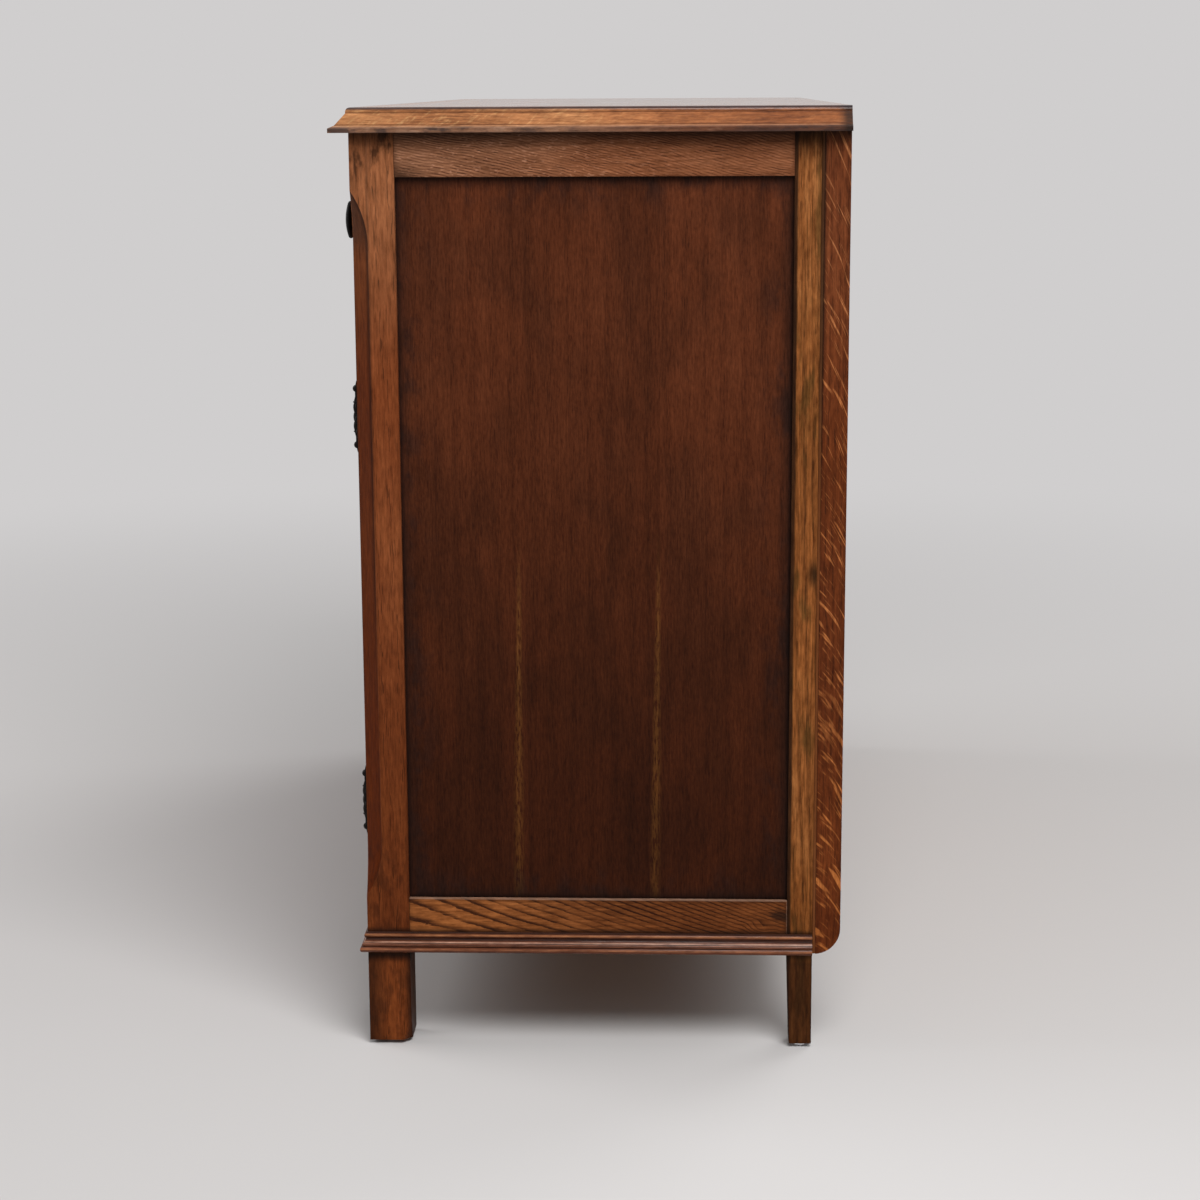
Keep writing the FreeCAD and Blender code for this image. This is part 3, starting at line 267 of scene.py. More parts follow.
def wood(name, axis, tones, figure, rings=0.5, band=(0.12, 0.22, 0.62), ragged=0.2, broken=0.0, patchy=0.3,
         fibre=1.8, fineness=1.0, broad=0.8, pores=0.65, box=None, edge=0.55, edge_reach=0.005, extra=None,
         remap=None, rough=(0.42, 0.56), shine=0.07, coat=0.0):
    """Oak with growth rings, fibre, pores, uneven stain and darkened arrises.

    tones are dark, middle, light and the colour of the pores. band is where the open, dark part of a ring is
    full and where it starts and ends to fade, as shares of the ring. extra(g, colour, place) adds a piece's
    own marks and remap(g, place) gives the place in the tree where it isn't the place in the piece.
    """
    g = new_material(name)
    place = g.place()
    across = remap(g, place) if remap else list(place)
    way = [across.pop(axis)] + across
    streaks = grained(g, way, STREAKS, fineness)
    mottle = grained(g, way, MOTTLE, fineness)
    pore = g.fade(grained(g, way, PORES), *PORE_SPAN)
    stain = grained(g, way, STAIN)
    turn = g.math("FRACT", g.add(figure(g, way), g.swing(mottle, ragged)))
    full, start, end = band
    early = g.times(
        g.fade(turn, 0.0, full), g.fade(turn, end, start), g.fade(mottle, *BREAK_SPAN, 1 - broken, 1.0),
        g.fade(stain, *PATCH_SPAN, 1 - patchy, 1.0))
    value = g.add(EVEN_TONE, g.swing(stain, broad), g.times(early, -rings))
    dark, middle, light, pore_tone = tones
    colour = g.ramp(value, ((0.0, dark), (MIDDLE_TONE, middle), (1.0, light)))
    open_wood = g.add(LATE_PORES, g.times(early, 1 - LATE_PORES))
    colour = g.stain(colour, pore_tone, pore, open_wood, pores)
    if box is not None:
        grime = g.fade(edge_distance(g, place, box), edge_reach, 0.0)
        colour = g.stain(colour, dark, grime, g.fade(stain, *GRIME_SPAN), edge)
    if extra is not None:
        colour = extra(g, colour, place)
    grain = g.add(0.5, g.swing(streaks, fibre), g.swing(mottle, MOTTLE_SHARE * fibre))
    colour = g.mix(1.0, colour, g.mix(grain, GRAIN_DARK, GRAIN_LIGHT), "MULTIPLY")
    height = g.add(g.times(streaks, STREAK_RELIEF), g.times(pore, PORE_RELIEF), g.times(early, RING_RELIEF))
    roughness = g.add(g.fade(stain, *ROUGH_SPAN, *rough), g.times(pore, PORE_ROUGHNESS))
    return g.principled(
        Base_Color=colour, Roughness=roughness, Normal=g.bump(height, RELIEF_DEPTH, RELIEF_STRENGTH),
        Specular_IOR_Level=shine, Coat_Weight=coat, Coat_Roughness=COAT_ROUGHNESS)


PORE = srgb(36, 18, 8)
# A dark tone used both for dirt and for painted shade
GRIME_AND_SHADE = srgb(26, 15, 9)
# A pale tone for dust and painted highlight
DUST_AND_HIGHLIGHT = srgb(150, 118, 98)
FLECK = srgb(180, 110, 60)
FRAME_TONES = (srgb(82, 39, 18), srgb(118, 60, 30), srgb(148, 82, 44), PORE)
RAIL_TONES = (srgb(78, 40, 22), srgb(136, 84, 54), srgb(172, 116, 84), PORE)
LOW_RAIL_TONES = (srgb(50, 23, 9), srgb(122, 70, 34), srgb(156, 94, 50), PORE)
PANEL_TONES = (srgb(54, 25, 11), srgb(79, 39, 20), srgb(98, 52, 29), srgb(36, 16, 8))
GOLD_TONES = (srgb(78, 42, 18), srgb(138, 82, 40), srgb(172, 112, 62), srgb(50, 28, 12))
STRIP_TONES = (srgb(68, 29, 10), srgb(97, 46, 19), srgb(125, 65, 31), PORE)
TOP_TONES = (srgb(112, 62, 32), srgb(156, 98, 58), srgb(192, 138, 90), srgb(84, 44, 22))
MOULDING_TONES = (srgb(60, 26, 12), srgb(96, 49, 26), srgb(126, 70, 42), PORE)
DOOR_TONES = (srgb(64, 29, 13), srgb(98, 48, 24), srgb(128, 69, 38), PORE)
DRAWER_TONES = (srgb(78, 37, 16), srgb(118, 62, 31), srgb(152, 88, 48), PORE)
INNER_TONES = (srgb(108, 70, 42), srgb(156, 110, 70), srgb(184, 140, 96), srgb(88, 56, 34))
PLY_TONES = (srgb(112, 74, 44), srgb(150, 106, 66), srgb(176, 132, 88), srgb(96, 64, 40))

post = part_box("front_post_right")
back_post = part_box("back_post_right")
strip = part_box("wall_strip_right")
rail_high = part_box("end_top_rail_right")
rail_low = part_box("end_bottom_rail_right")
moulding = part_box("base_moulding_right")
top_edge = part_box("top_edge_right")
END_X = post[1].x
FRONT_Y = post[0].y
UNDER_TOP = top_edge[0].z
LEG_TOP = moulding[0].z


def spans(low, high, **ranges):
    """Three (low, high) ranges of a box, with some replaced."""
    found = {axis: (low[index], high[index]) for index, axis in enumerate("xyz")}
    found.update(ranges)
    return [found[axis] for axis in "xyz"]


def off_centre(g, first, second, centre, stretch):
    """Distance from a centre, with the first direction drawn out by a stretch."""
    along = g.times(g.less(first, centre[0]), 1 / stretch)
    return g.length(along, g.less(second, centre[1]))


# Marks of the pieces. A mark is a tone and its strength, and a wash is a span and the shares of a tint.
# Noise on a piece has the axis that it is drawn out along, the share of the way that counts, and its scale.
# Detail and roughness follow where they aren't the usual ones.
# Names with HEIGHT are above the floor, and names with DEPTH are along Y.

# Dirt and painted shade by level, reach on either side and strength: under the top, above the base moulding
# and below it
END_DIRT_AND_SHADE = ((UNDER_TOP, 0.016, 0.75), (moulding[1].z, 0.006, 0.8), (LEG_TOP, 0.014, 0.7))


# Lays the bands of dirt and painted shade on a colour
def dirt_and_shade(g, colour, z, bands=END_DIRT_AND_SHADE):
    for level, reach, share in bands:
        colour = g.stain(colour, GRIME_AND_SHADE, g.near(z, level, reach), share)
    return colour


# Front post, with a chamfer whose setbacks from the two faces add up to this
CHAMFER = 0.0165
# The chamfer's darker colour is partly its own tone and partly painted shade, for a face turned away from the
# light
CUT_TONE_AND_SHADE = (srgb(84, 32, 6), 0.7)
CUT_FACE = (0.0002, 0.0008)
CUT_END = (CHAMFER + 0.0025, CHAMFER + 0.0012)
CUT_WORN = srgb(44, 17, 6)
CUT_WORN_SIDE = (0.0045, 0.001)
CUT_WORN_HEIGHT = (0.32, 0.60, 0.15, 0.7)
# Painted shade at the head of the chamfer, where its stop faces down beside the knob
CUT_HEAD_SHADE = (srgb(38, 21, 13), 0.62)
CUT_HEAD_SHADE_HEIGHT = (0.790, 0.828)
CUT_RIM = 0.0022
CUT_RIM_FACE = (0.002, 0.0)
CUT_RIM_HEIGHT = (0.30, 0.62, 0.1, 0.38)
CUT_FOOT_TINT = (1.06, 0.92, 0.42)
CUT_FOOT_HEIGHT = (0.62, 0.25)
# Painted light: the post is lighter towards the top and darker towards the foot
POST_LIGHT_AND_SHADE_WASHES = (((0.66, 0.88), (1.75, 2.5, 3.4)), ((0.60, 0.15), (0.76, 0.72, 0.6)))
POST_MIDDLE_TINT = (1.02, 1.08, 1.16)
POST_MIDDLE_HEIGHT = 0.5
POST_MIDDLE_REACH = 0.2
POST_BLOTS = (ALONG_Z, 0.5, 85.0)
POST_BLOT_SPAN = (0.47, 0.65)
HIGH_BLOTS = (GRIME_AND_SHADE, 0.8)
HIGH_BLOT_HEIGHT = (0.84, 0.910)
LOW_BLOTS = (srgb(48, 22, 10), 0.45)
LOW_BLOT_HEIGHT = (0.26, 0.17)
LEG_TINT = (1.45, 1.5, 1.42)
LEG_HEIGHT = (LEG_TOP + 0.004, LEG_TOP - 0.004)
LEG_FRONT = (0.024, 0.004, 0.0, 0.7)
LEG_BACK = (0.034, 0.043, 0.0, 0.8)
LEG_SHADE = (GRIME_AND_SHADE, 0.7)
LEG_SHADE_HEIGHT = (LEG_TOP - 0.014, LEG_TOP - 0.004)


def post_marks(g, colour, place):
    """A chamfer darkened partly by painted shade, with wear, a dirty rim and painted shade at its head;
    painted light that makes the post lighter towards the top and darker towards the foot; blots; a leg with
    dirty edges and painted shade under the moulding; and bands of dirt and painted shade.
    """
    x, y, z = place
    inset = g.less(END_X, g.size(x))
    setback = g.less(y, FRONT_Y)
    corner = g.add(inset, setback)
    cut = g.times(g.fade(inset, *CUT_FACE), g.fade(setback, *CUT_FACE), g.fade(corner, *CUT_END))
    colour = g.stain(colour, *CUT_TONE_AND_SHADE, cut)
    colour = g.stain(colour, CUT_WORN, cut, g.fade(inset, *CUT_WORN_SIDE), g.fade(z, *CUT_WORN_HEIGHT))
    colour = g.stain(colour, *CUT_HEAD_SHADE, cut, g.fade(z, *CUT_HEAD_SHADE_HEIGHT))
    rim = g.times(g.near(corner, CHAMFER, CUT_RIM), g.fade(g.least(inset, setback), *CUT_RIM_FACE))
    colour = g.stain(colour, GRIME_AND_SHADE, rim, g.fade(z, *CUT_RIM_HEIGHT))
    colour = g.tint(colour, CUT_FOOT_TINT, cut, g.fade(z, *CUT_FOOT_HEIGHT))
    colour = g.wash(colour, z, POST_LIGHT_AND_SHADE_WASHES)
    colour = g.tint(colour, POST_MIDDLE_TINT, g.near(z, POST_MIDDLE_HEIGHT, POST_MIDDLE_REACH))
    blots = g.fade(g.drawn(place, *POST_BLOTS), *POST_BLOT_SPAN)
    colour = g.stain(colour, *HIGH_BLOTS, blots, g.fade(z, *HIGH_BLOT_HEIGHT))
    colour = g.stain(colour, *LOW_BLOTS, blots, g.fade(z, *LOW_BLOT_HEIGHT))
    leg = g.fade(z, *LEG_HEIGHT)
    colour = g.tint(colour, LEG_TINT, leg)
    colour = g.stain(colour, GRIME_AND_SHADE, leg, g.add(g.fade(setback, *LEG_FRONT), g.fade(setback, *LEG_BACK)))
    colour = g.stain(colour, *LEG_SHADE, leg, g.fade(z, *LEG_SHADE_HEIGHT))
    return dirt_and_shade(g, colour, z)


# Top rail of the end
RAIL_WASHES = (((0.05, -0.16), (1.22, 1.48, 1.8)), ((-0.02, 0.18), (0.88, 0.86, 0.84)))
RAIL_SPECKS = (ALONG_Y, 0.3, 620.0, 1.0, 0.5)
RAIL_SPECK_TONE = srgb(196, 142, 112)
RAIL_SPECK_SPAN = (0.60, 0.72, 0.0, 0.4)
RAIL_SPECK_DEPTH = (0.12, -0.06, 0.2, 1.0)
RAIL_CORNER = (GRIME_AND_SHADE, 0.7)
RAIL_CORNER_DEPTH = (post[1].y + 0.045, post[1].y)
RAIL_CORNER_RISE = 0.022
TOP_RAIL_WAVE = (0.5, 18.0, 3.0, 0.6)
TOP_RAIL_WARP = 0.016
TOP_RAIL_SLOPE = 0.24
TOP_RAIL_STEEPENING = 0.12
TOP_RAIL_RINGS = 400.0


def rail_marks(g, colour, place):
    """Paler and speckled towards the front, with a dirty lower front corner, and bands of dirt and painted
    shade.
    """
    y, z = place[1:]
    colour = g.wash(colour, y, RAIL_WASHES)
    specks = g.fade(g.drawn(place, *RAIL_SPECKS), *RAIL_SPECK_SPAN)
    colour = g.stain(colour, RAIL_SPECK_TONE, specks, g.fade(y, *RAIL_SPECK_DEPTH))
    corner = g.times(g.fade(y, *RAIL_CORNER_DEPTH), g.near(z, rail_high[0].z, RAIL_CORNER_RISE))
    colour = g.stain(colour, *RAIL_CORNER, corner)
    return dirt_and_shade(g, colour, z)


def top_rail_figure(g, way):
    """Fine slanting rings, steeper towards the back."""
    along, _, height = way
    wave = g.swing(grained(g, way, TOP_RAIL_WAVE), TOP_RAIL_WARP)
    slope = g.add(TOP_RAIL_SLOPE, g.times(along, TOP_RAIL_STEEPENING))
    return g.times(g.add(height, g.times(along, slope), wave), TOP_RAIL_RINGS)


# Bottom rail of the end
LOW_RAIL_WASHES = (((0.02, -0.13), (1.55, 1.6, 1.6)), ((-0.06, 0.10), (0.74, 0.67, 0.61)))
LOW_RAIL_BLOT = (0.1930, rail_low[0].z + 0.0400)
BLOT_STRETCH = 1.6
BLOT_RAGGED = (ALONG_Y, 0.4, 160.0)
BLOT_WARP = 0.012
BLOT_SPAN = (0.010, 0.003, 0.0, 0.8)
# Pale lines of dust and painted highlight along the rail's upper arris and beside the back post
LEDGE_DUST_AND_HIGHLIGHT = (DUST_AND_HIGHLIGHT, 0.7)
LEDGE_REACH = 0.0012
JOINT_DUST_AND_HIGHLIGHT = (DUST_AND_HIGHLIGHT, 0.5)
JOINT_REACH = 0.0014
LOW_RAIL_KNOT = (0.1723, rail_low[0].z + 0.0259)
KNOT_STRETCH = 1.7
KNOT_SPAN = (0.011, 0.0, 0.0, 1.5)
LOW_RAIL_WAVE = (0.4, 14.0, 2.0, 0.5)
LOW_RAIL_WARP = 0.005
LOW_RAIL_DRIFT = (0.5, 17.0, 2.0, 0.5)
LOW_RAIL_DRIFT_RINGS = 1.1
LOW_RAIL_RINGS = 155.0
LOW_RAIL_CLOSING = 560.0
LOW_RAIL_SLANT = 32.0
LOW_RAIL_STEEPENING = 95.0


def low_rail_marks(g, colour, place):
    """Paler towards the front, with a dark blot, pale lines of dust and painted highlight along the upper
    edge and beside the back post, and bands of dirt and painted shade.
    """
    y, z = place[1:]
    colour = g.wash(colour, y, LOW_RAIL_WASHES)
    blot = off_centre(g, y, z, LOW_RAIL_BLOT, BLOT_STRETCH)
    ragged = g.swing(g.drawn(place, *BLOT_RAGGED), BLOT_WARP)
    colour = g.stain(colour, GRIME_AND_SHADE, g.fade(g.add(blot, ragged), *BLOT_SPAN))
    colour = g.stain(colour, *LEDGE_DUST_AND_HIGHLIGHT, g.near(z, rail_low[1].z, LEDGE_REACH))
    colour = g.stain(colour, *JOINT_DUST_AND_HIGHLIGHT, g.near(y, back_post[0].y, JOINT_REACH))
    return dirt_and_shade(g, colour, z)


def low_rail_figure(g, way):
    """Bold slanting rings that close up towards the back, round a small knot."""
    along, _, height = way
    rise = g.less(height, rail_low[0].z)
    wave = g.swing(grained(g, way, LOW_RAIL_WAVE), LOW_RAIL_WARP)
    drift = g.swing(grained(g, way, LOW_RAIL_DRIFT), LOW_RAIL_DRIFT_RINGS)
    rings = g.add(LOW_RAIL_RINGS, g.times(along, LOW_RAIL_CLOSING))
    slant = g.add(LOW_RAIL_SLANT, g.times(along, LOW_RAIL_STEEPENING))
    knot = g.fade(off_centre(g, along, height, LOW_RAIL_KNOT, KNOT_STRETCH), *KNOT_SPAN)
    return g.add(g.times(g.add(rise, wave), rings), g.times(along, slant), drift, knot)


# Panel of the end, veneered in leaves side by side
LEAF = 0.1323
LEAF_START = -0.1932
LEAF_LEAN = 0.4
LEAF_JOINTS = ((LEAF_START + LEAF, 0.9), (LEAF_START + 2 * LEAF, 1.14))
LEAF_JOINT_HALF = 0.0006
STREAK = (srgb(124, 80, 40), 0.75)
STREAK_DEPTHS = (-0.0689, 0.0685)
STREAK_REACH = 0.0054
STREAK_LEVEL = 0.36
STREAK_LEAN = -0.011
STREAK_TAPER = (0.50, 0.24, 1.5, 0.75)
STREAK_HEIGHT = (0.54, 0.42)
STREAK_RAGGED = (ALONG_Z, 0.25, 420.0)
STREAK_BREAKS = (0.37, 0.56)
CLOUDS = (ALONG_Z, 0.5, 14.0)
CLOUD_WASHES = (((0.40, 0.60), (1.17, 1.14, 1.12)), ((0.60, 0.40), (0.88, 0.89, 0.92)))
# Painted shade: the panel is darker towards its foot, where less light falls
PANEL_FOOT_SHADE_WASHES = (((0.84, 0.16), (0.48, 0.43, 0.35)),)
RIM_BLOT = (srgb(30, 20, 18), 0.6)
RIM_BLOTS = (ALONG_Z, 0.6, 34.0, 4.0, 0.65)
RIM_BLOT_SPAN = (0.46, 0.64)
RIM_BLOT_REACH = (0.045, 0.0)
# The rim of the sunk panel is darkened by dirt and by painted shade from the frame round it
RIM_DIRT_AND_SHADE = ((srgb(30, 19, 15), (0.017, 0.0, 0.0, 0.5)), (srgb(14, 9, 8), (0.005, 0.0, 0.0, 0.6)))


def panel_leaf(g, place):
    """The panel's veneers come from one log, so each leaf repeats the figure of the last."""
    x, y, z = place
    return [x, g.wrap(g.less(y, LEAF_START), LEAF), g.add(z, g.times(y, LEAF_LEAN))]


def panel_marks(g, colour, place):
    """Leaves of differing tone, two pale streaks, clouds, a foot darkened by painted shade, and a rim
    darkened by dirt and painted shade.
    """
    y, z = place[1:]
    for joint, shade in LEAF_JOINTS:
        beyond = g.fade(y, joint - LEAF_JOINT_HALF, joint + LEAF_JOINT_HALF)
        colour = g.tint(colour, (shade, shade, shade), beyond)
    ragged = g.fade(g.drawn((y, y, z), *STREAK_RAGGED), *STREAK_BREAKS)
    lean = g.add(y, g.times(g.less(z, STREAK_LEVEL), STREAK_LEAN))
    for depth in STREAK_DEPTHS:
        off = g.times(g.less(lean, depth), g.fade(z, *STREAK_TAPER))
        streak = g.times(g.near(off, 0.0, STREAK_REACH), g.fade(z, *STREAK_HEIGHT), ragged)
        colour = g.stain(colour, *STREAK, streak)
    colour = g.wash(colour, g.drawn(place, *CLOUDS), CLOUD_WASHES)
    colour = g.wash(colour, z, PANEL_FOOT_SHADE_WASHES)
    sides = g.least(g.less(y, post[1].y), g.less(back_post[0].y, y))
    ends = g.least(g.less(z, rail_low[1].z), g.less(rail_high[0].z, z))
    rim = g.least(sides, ends)
    blots = g.fade(g.drawn(place, *RIM_BLOTS), *RIM_BLOT_SPAN)
    colour = g.stain(colour, *RIM_BLOT, blots, g.fade(rim, *RIM_BLOT_REACH))
    for tone, span in RIM_DIRT_AND_SHADE:
        colour = g.stain(colour, tone, g.fade(rim, *span))
    return colour


# Back post, of paler wood
GOLD_LINES = (ALONG_Z, 0.02, 700.0)
GOLD_LINE_LEAN = 0.012
GOLD_LINE_TONE = srgb(62, 36, 14)
GOLD_LINE_SPAN = (0.48, 0.66, 0.0, 0.5)
GOLD_PATCHES = (ALONG_Z, 0.25, 60.0)
GOLD_PATCH_TONE = srgb(62, 46, 18)
GOLD_PATCH_SPAN = (0.52, 0.68, 0.0, 0.6)
GOLD_MIDDLE_TINT = (1.14, 1.12, 1.1)
GOLD_MIDDLE_HEIGHT = 0.46
GOLD_MIDDLE_REACH = 0.25
GOLD_HIGH_WASHES = (((0.65, 0.80), (0.94, 0.94, 0.98)),)
GOLD_KNOT = (0.4895, 0.2221)
GOLD_KNOT_STRETCH = 2.0
GOLD_KNOT_TONE = srgb(36, 24, 12)
GOLD_KNOT_SPAN = (0.010, 0.001, 0.0, 0.85)
# Dirt and painted shade at the head of the post, under the top
GOLD_HEAD_SHADE_HEIGHT = (0.880, 0.912, 0.0, 0.6)
# Painted shade on the arris beside the sunk panel
GOLD_ARRIS_SHADE = (0.0044, 0.0022, 0.0, 0.85)
GOLD_LOW_WASHES = (((0.24, 0.15), (0.84, 0.80, 0.70)),)
GOLD_LEG = srgb(44, 22, 9)
GOLD_LEG_SHARE = 0.78
GOLD_LEG_HEIGHT = (LEG_TOP + 0.002, LEG_TOP - 0.002)
GOLD_BARE_HEIGHT = (LEG_TOP - 0.012, LEG_TOP - 0.006, 0.0, 0.5)


def gold_marks(g, colour, place):
    """Fine dark lines, patches, a small knot, dirt and painted shade at the head, painted shade along the
    panel, a dark leg, and bands of dirt and painted shade.
    """
    x, y, z = place
    lines = g.drawn((x, g.add(y, g.times(z, GOLD_LINE_LEAN)), z), *GOLD_LINES)
    colour = g.stain(colour, GOLD_LINE_TONE, g.fade(lines, *GOLD_LINE_SPAN))
    colour = g.stain(colour, GOLD_PATCH_TONE, g.fade(g.drawn(place, *GOLD_PATCHES), *GOLD_PATCH_SPAN))
    colour = g.tint(colour, GOLD_MIDDLE_TINT, g.near(z, GOLD_MIDDLE_HEIGHT, GOLD_MIDDLE_REACH))
    colour = g.wash(colour, z, GOLD_HIGH_WASHES)
    knot = off_centre(g, z, y, GOLD_KNOT, GOLD_KNOT_STRETCH)
    colour = g.stain(colour, GOLD_KNOT_TONE, g.fade(knot, *GOLD_KNOT_SPAN))
    colour = g.stain(colour, GRIME_AND_SHADE, g.fade(z, *GOLD_HEAD_SHADE_HEIGHT))
    colour = g.stain(colour, GRIME_AND_SHADE, g.fade(g.less(y, back_post[0].y), *GOLD_ARRIS_SHADE))
    colour = g.wash(colour, z, GOLD_LOW_WASHES)
    dark_leg = g.less(GOLD_LEG_SHARE, g.fade(z, *GOLD_BARE_HEIGHT))
    colour = g.stain(colour, GOLD_LEG, g.fade(z, *GOLD_LEG_HEIGHT), dark_leg)
    return dirt_and_shade(g, colour, z)


# Wall strip. Its flecks are low, high and everywhere, each with a scale along the slant and one across it,
# where they start in the noise, and their strength
FLECKS = ((105.0, 34.0, 0.57, 0.85), (165.0, 40.0, 0.59, 0.75), (290.0, 60.0, 0.61, 0.4))
FLECK_DETAIL = 2.0
FLECK_ROUGHNESS = 0.6
FLECK_SOFTNESS = 0.1
FLECK_FACE = (strip[1].x - 0.0025, strip[1].x - 0.0005)
FLECK_LOW_HEIGHT = (0.42, 0.26)
FLECK_SLOPE = (0.15, 0.85, 0.6, 1.6)
FLECK_BEND = 22.0
FLECK_WANDER = 1.4
WANDER_SCALE = 14.0
WANDER_DETAIL = 1.0
STRIP_WASHES = (
    ((0.60, 0.85), (1.02, 1.14, 1.45)), ((0.45, 0.20), (1.0, 0.95, 0.8)),
    ((0.170, 0.135), (0.82, 0.78, 0.74)))
# Painted shade in the gap between the strip and the back post, higher up
STRIP_GAP_SHADE = (GRIME_AND_SHADE, 0.8)
STRIP_GAP_SHADE_DEPTH = (0.0025, 0.0)
STRIP_GAP_SHADE_HEIGHT = (0.45, 0.75)


def fleck_marks(g, colour, place):
    """Rays cut along their length: bright strokes that slant and bend down towards the back."""
    x, y, z = place
    depth = g.less(y, strip[0].y)
    wander = g.noise(g.vector(0.0, 0.0, z), WANDER_SCALE, WANDER_DETAIL)
    slope = g.add(g.fade(z, *FLECK_SLOPE), g.swing(wander, FLECK_WANDER), g.times(depth, FLECK_BEND))
    slant = g.add(z, g.times(depth, slope))
    face = g.fade(g.size(x), *FLECK_FACE)
    low = g.fade(z, *FLECK_LOW_HEIGHT)
    zones = (low, g.less(1.0, low), 1.0)
    for (scale, spread, start, share), zone in zip(FLECKS, zones):
        spot = g.vector(g.times(slant, scale), g.times(depth, spread), x)
        strokes = g.noise(spot, 1.0, FLECK_DETAIL, FLECK_ROUGHNESS)
        colour = g.stain(colour, FLECK, g.fade(strokes, start, start + FLECK_SOFTNESS), zone, face, share)
    colour = g.wash(colour, z, STRIP_WASHES)
    # Painted shade in the gap beside the back post
    joint = g.times(g.fade(depth, *STRIP_GAP_SHADE_DEPTH), g.fade(z, *STRIP_GAP_SHADE_HEIGHT))
    colour = g.stain(colour, *STRIP_GAP_SHADE, joint)
    # Dirt and painted shade under the top
    return dirt_and_shade(g, colour, z, END_DIRT_AND_SHADE[:1])


# Edge of the top. Names with RISE are above its underside, and so are the first four, the upper ends of its
# members. The flat starts at an inset from the outer face.
SQUARE = 0.0042
SPLAY = 0.0068
BEVEL = 0.0180
QUIRK = 0.0196
FLAT_INSET = 0.0196
EDGE_WEAR = (0.35, 90.0, 4.0, 0.65)
EDGE_RAY_LEAN = -1.3
EDGE_RAY_SCALES = (230.0, 130.0, 60.0)
EDGE_RAY_DETAIL = 3.0
EDGE_RAY_ROUGHNESS = 0.6
PALE_RAYS = (srgb(206, 156, 102), 0.3)
PALE_RAY_SPAN = (0.54, 0.68)
PALE_RAY_DEPTH = (0.12, -0.10, 0.25, 1.0)
DARK_RAYS = srgb(128, 74, 36)
DARK_RAY_SPAN = (0.44, 0.32, 0.0, 0.4)
EDGE_WASHES = (((0.10, -0.10), (1.0, 1.08, 1.12)), ((-0.02, 0.2), (0.71, 0.62, 0.55)))
# Painted reflection: the square is greyed as the polish would mirror a pale room
SQUARE_GREY_REFLECTION = (srgb(112, 82, 66), 0.75)
SQUARE_REFLECTION_RISE = (SPLAY + 0.0004, SQUARE)
SQUARE_RISE = (SPLAY, SQUARE)
SQUARE_BACK_TINT = (0.56, 0.40, 0.29)
SQUARE_BACK_DEPTH = (-0.05, 0.15)
WORN_RISE = (SPLAY, SQUARE - 0.001)
WORN_DEPTH = (0.04, -0.10, 0.35, 1.0)
SCUFFS = (srgb(172, 142, 120), 0.2)
SCUFF_SPAN = (0.44, 0.34)
CHIPS = (srgb(58, 44, 40), 0.85)
CHIP_SPAN = (0.46, 0.60)
# Painted shade on the lower arris and the underside, which face down
LOW_ARRIS_SHADE = srgb(58, 40, 32)
LOW_ARRIS_SHADE_RISE = (0.0014, 0.0, 0.0, 0.5)
# Painted highlight along the splay
SPLAY_HIGHLIGHT = (srgb(188, 146, 112), 0.3)
SPLAY_HIGHLIGHT_RISE = SPLAY - 0.0008
SPLAY_HIGHLIGHT_REACH = 0.0010
BACK_SQUARE = srgb(46, 34, 31)
BACK_SQUARE_DEPTH = (0.10, 0.23)
BACK_SQUARE_SPAN = (0.36, 0.60, 0.3, 0.9)
BACK_END_DEPTH = (top_edge[1].y - 0.015, top_edge[1].y - 0.004, 0.0, 0.85)
# Painted shade in the creases at the foot and the head of the bevel
CREASE_SHADE = (srgb(80, 42, 22), 0.7)
CREASE_SHADE_RISES = (SPLAY + 0.0005, BEVEL + 0.0004)
CREASE_SHADE_REACH = 0.0008
# Painted shade along the upper arris, where the ovolo turns to the top
HIGH_ARRIS_SHADE = (srgb(40, 30, 34), 0.9)
HIGH_ARRIS_SHADE_RISE = (QUIRK + 0.0006, QUIRK + 0.0026)
HIGH_ARRIS_SHADE_INSET = (FLAT_INSET + 0.006, FLAT_INSET)


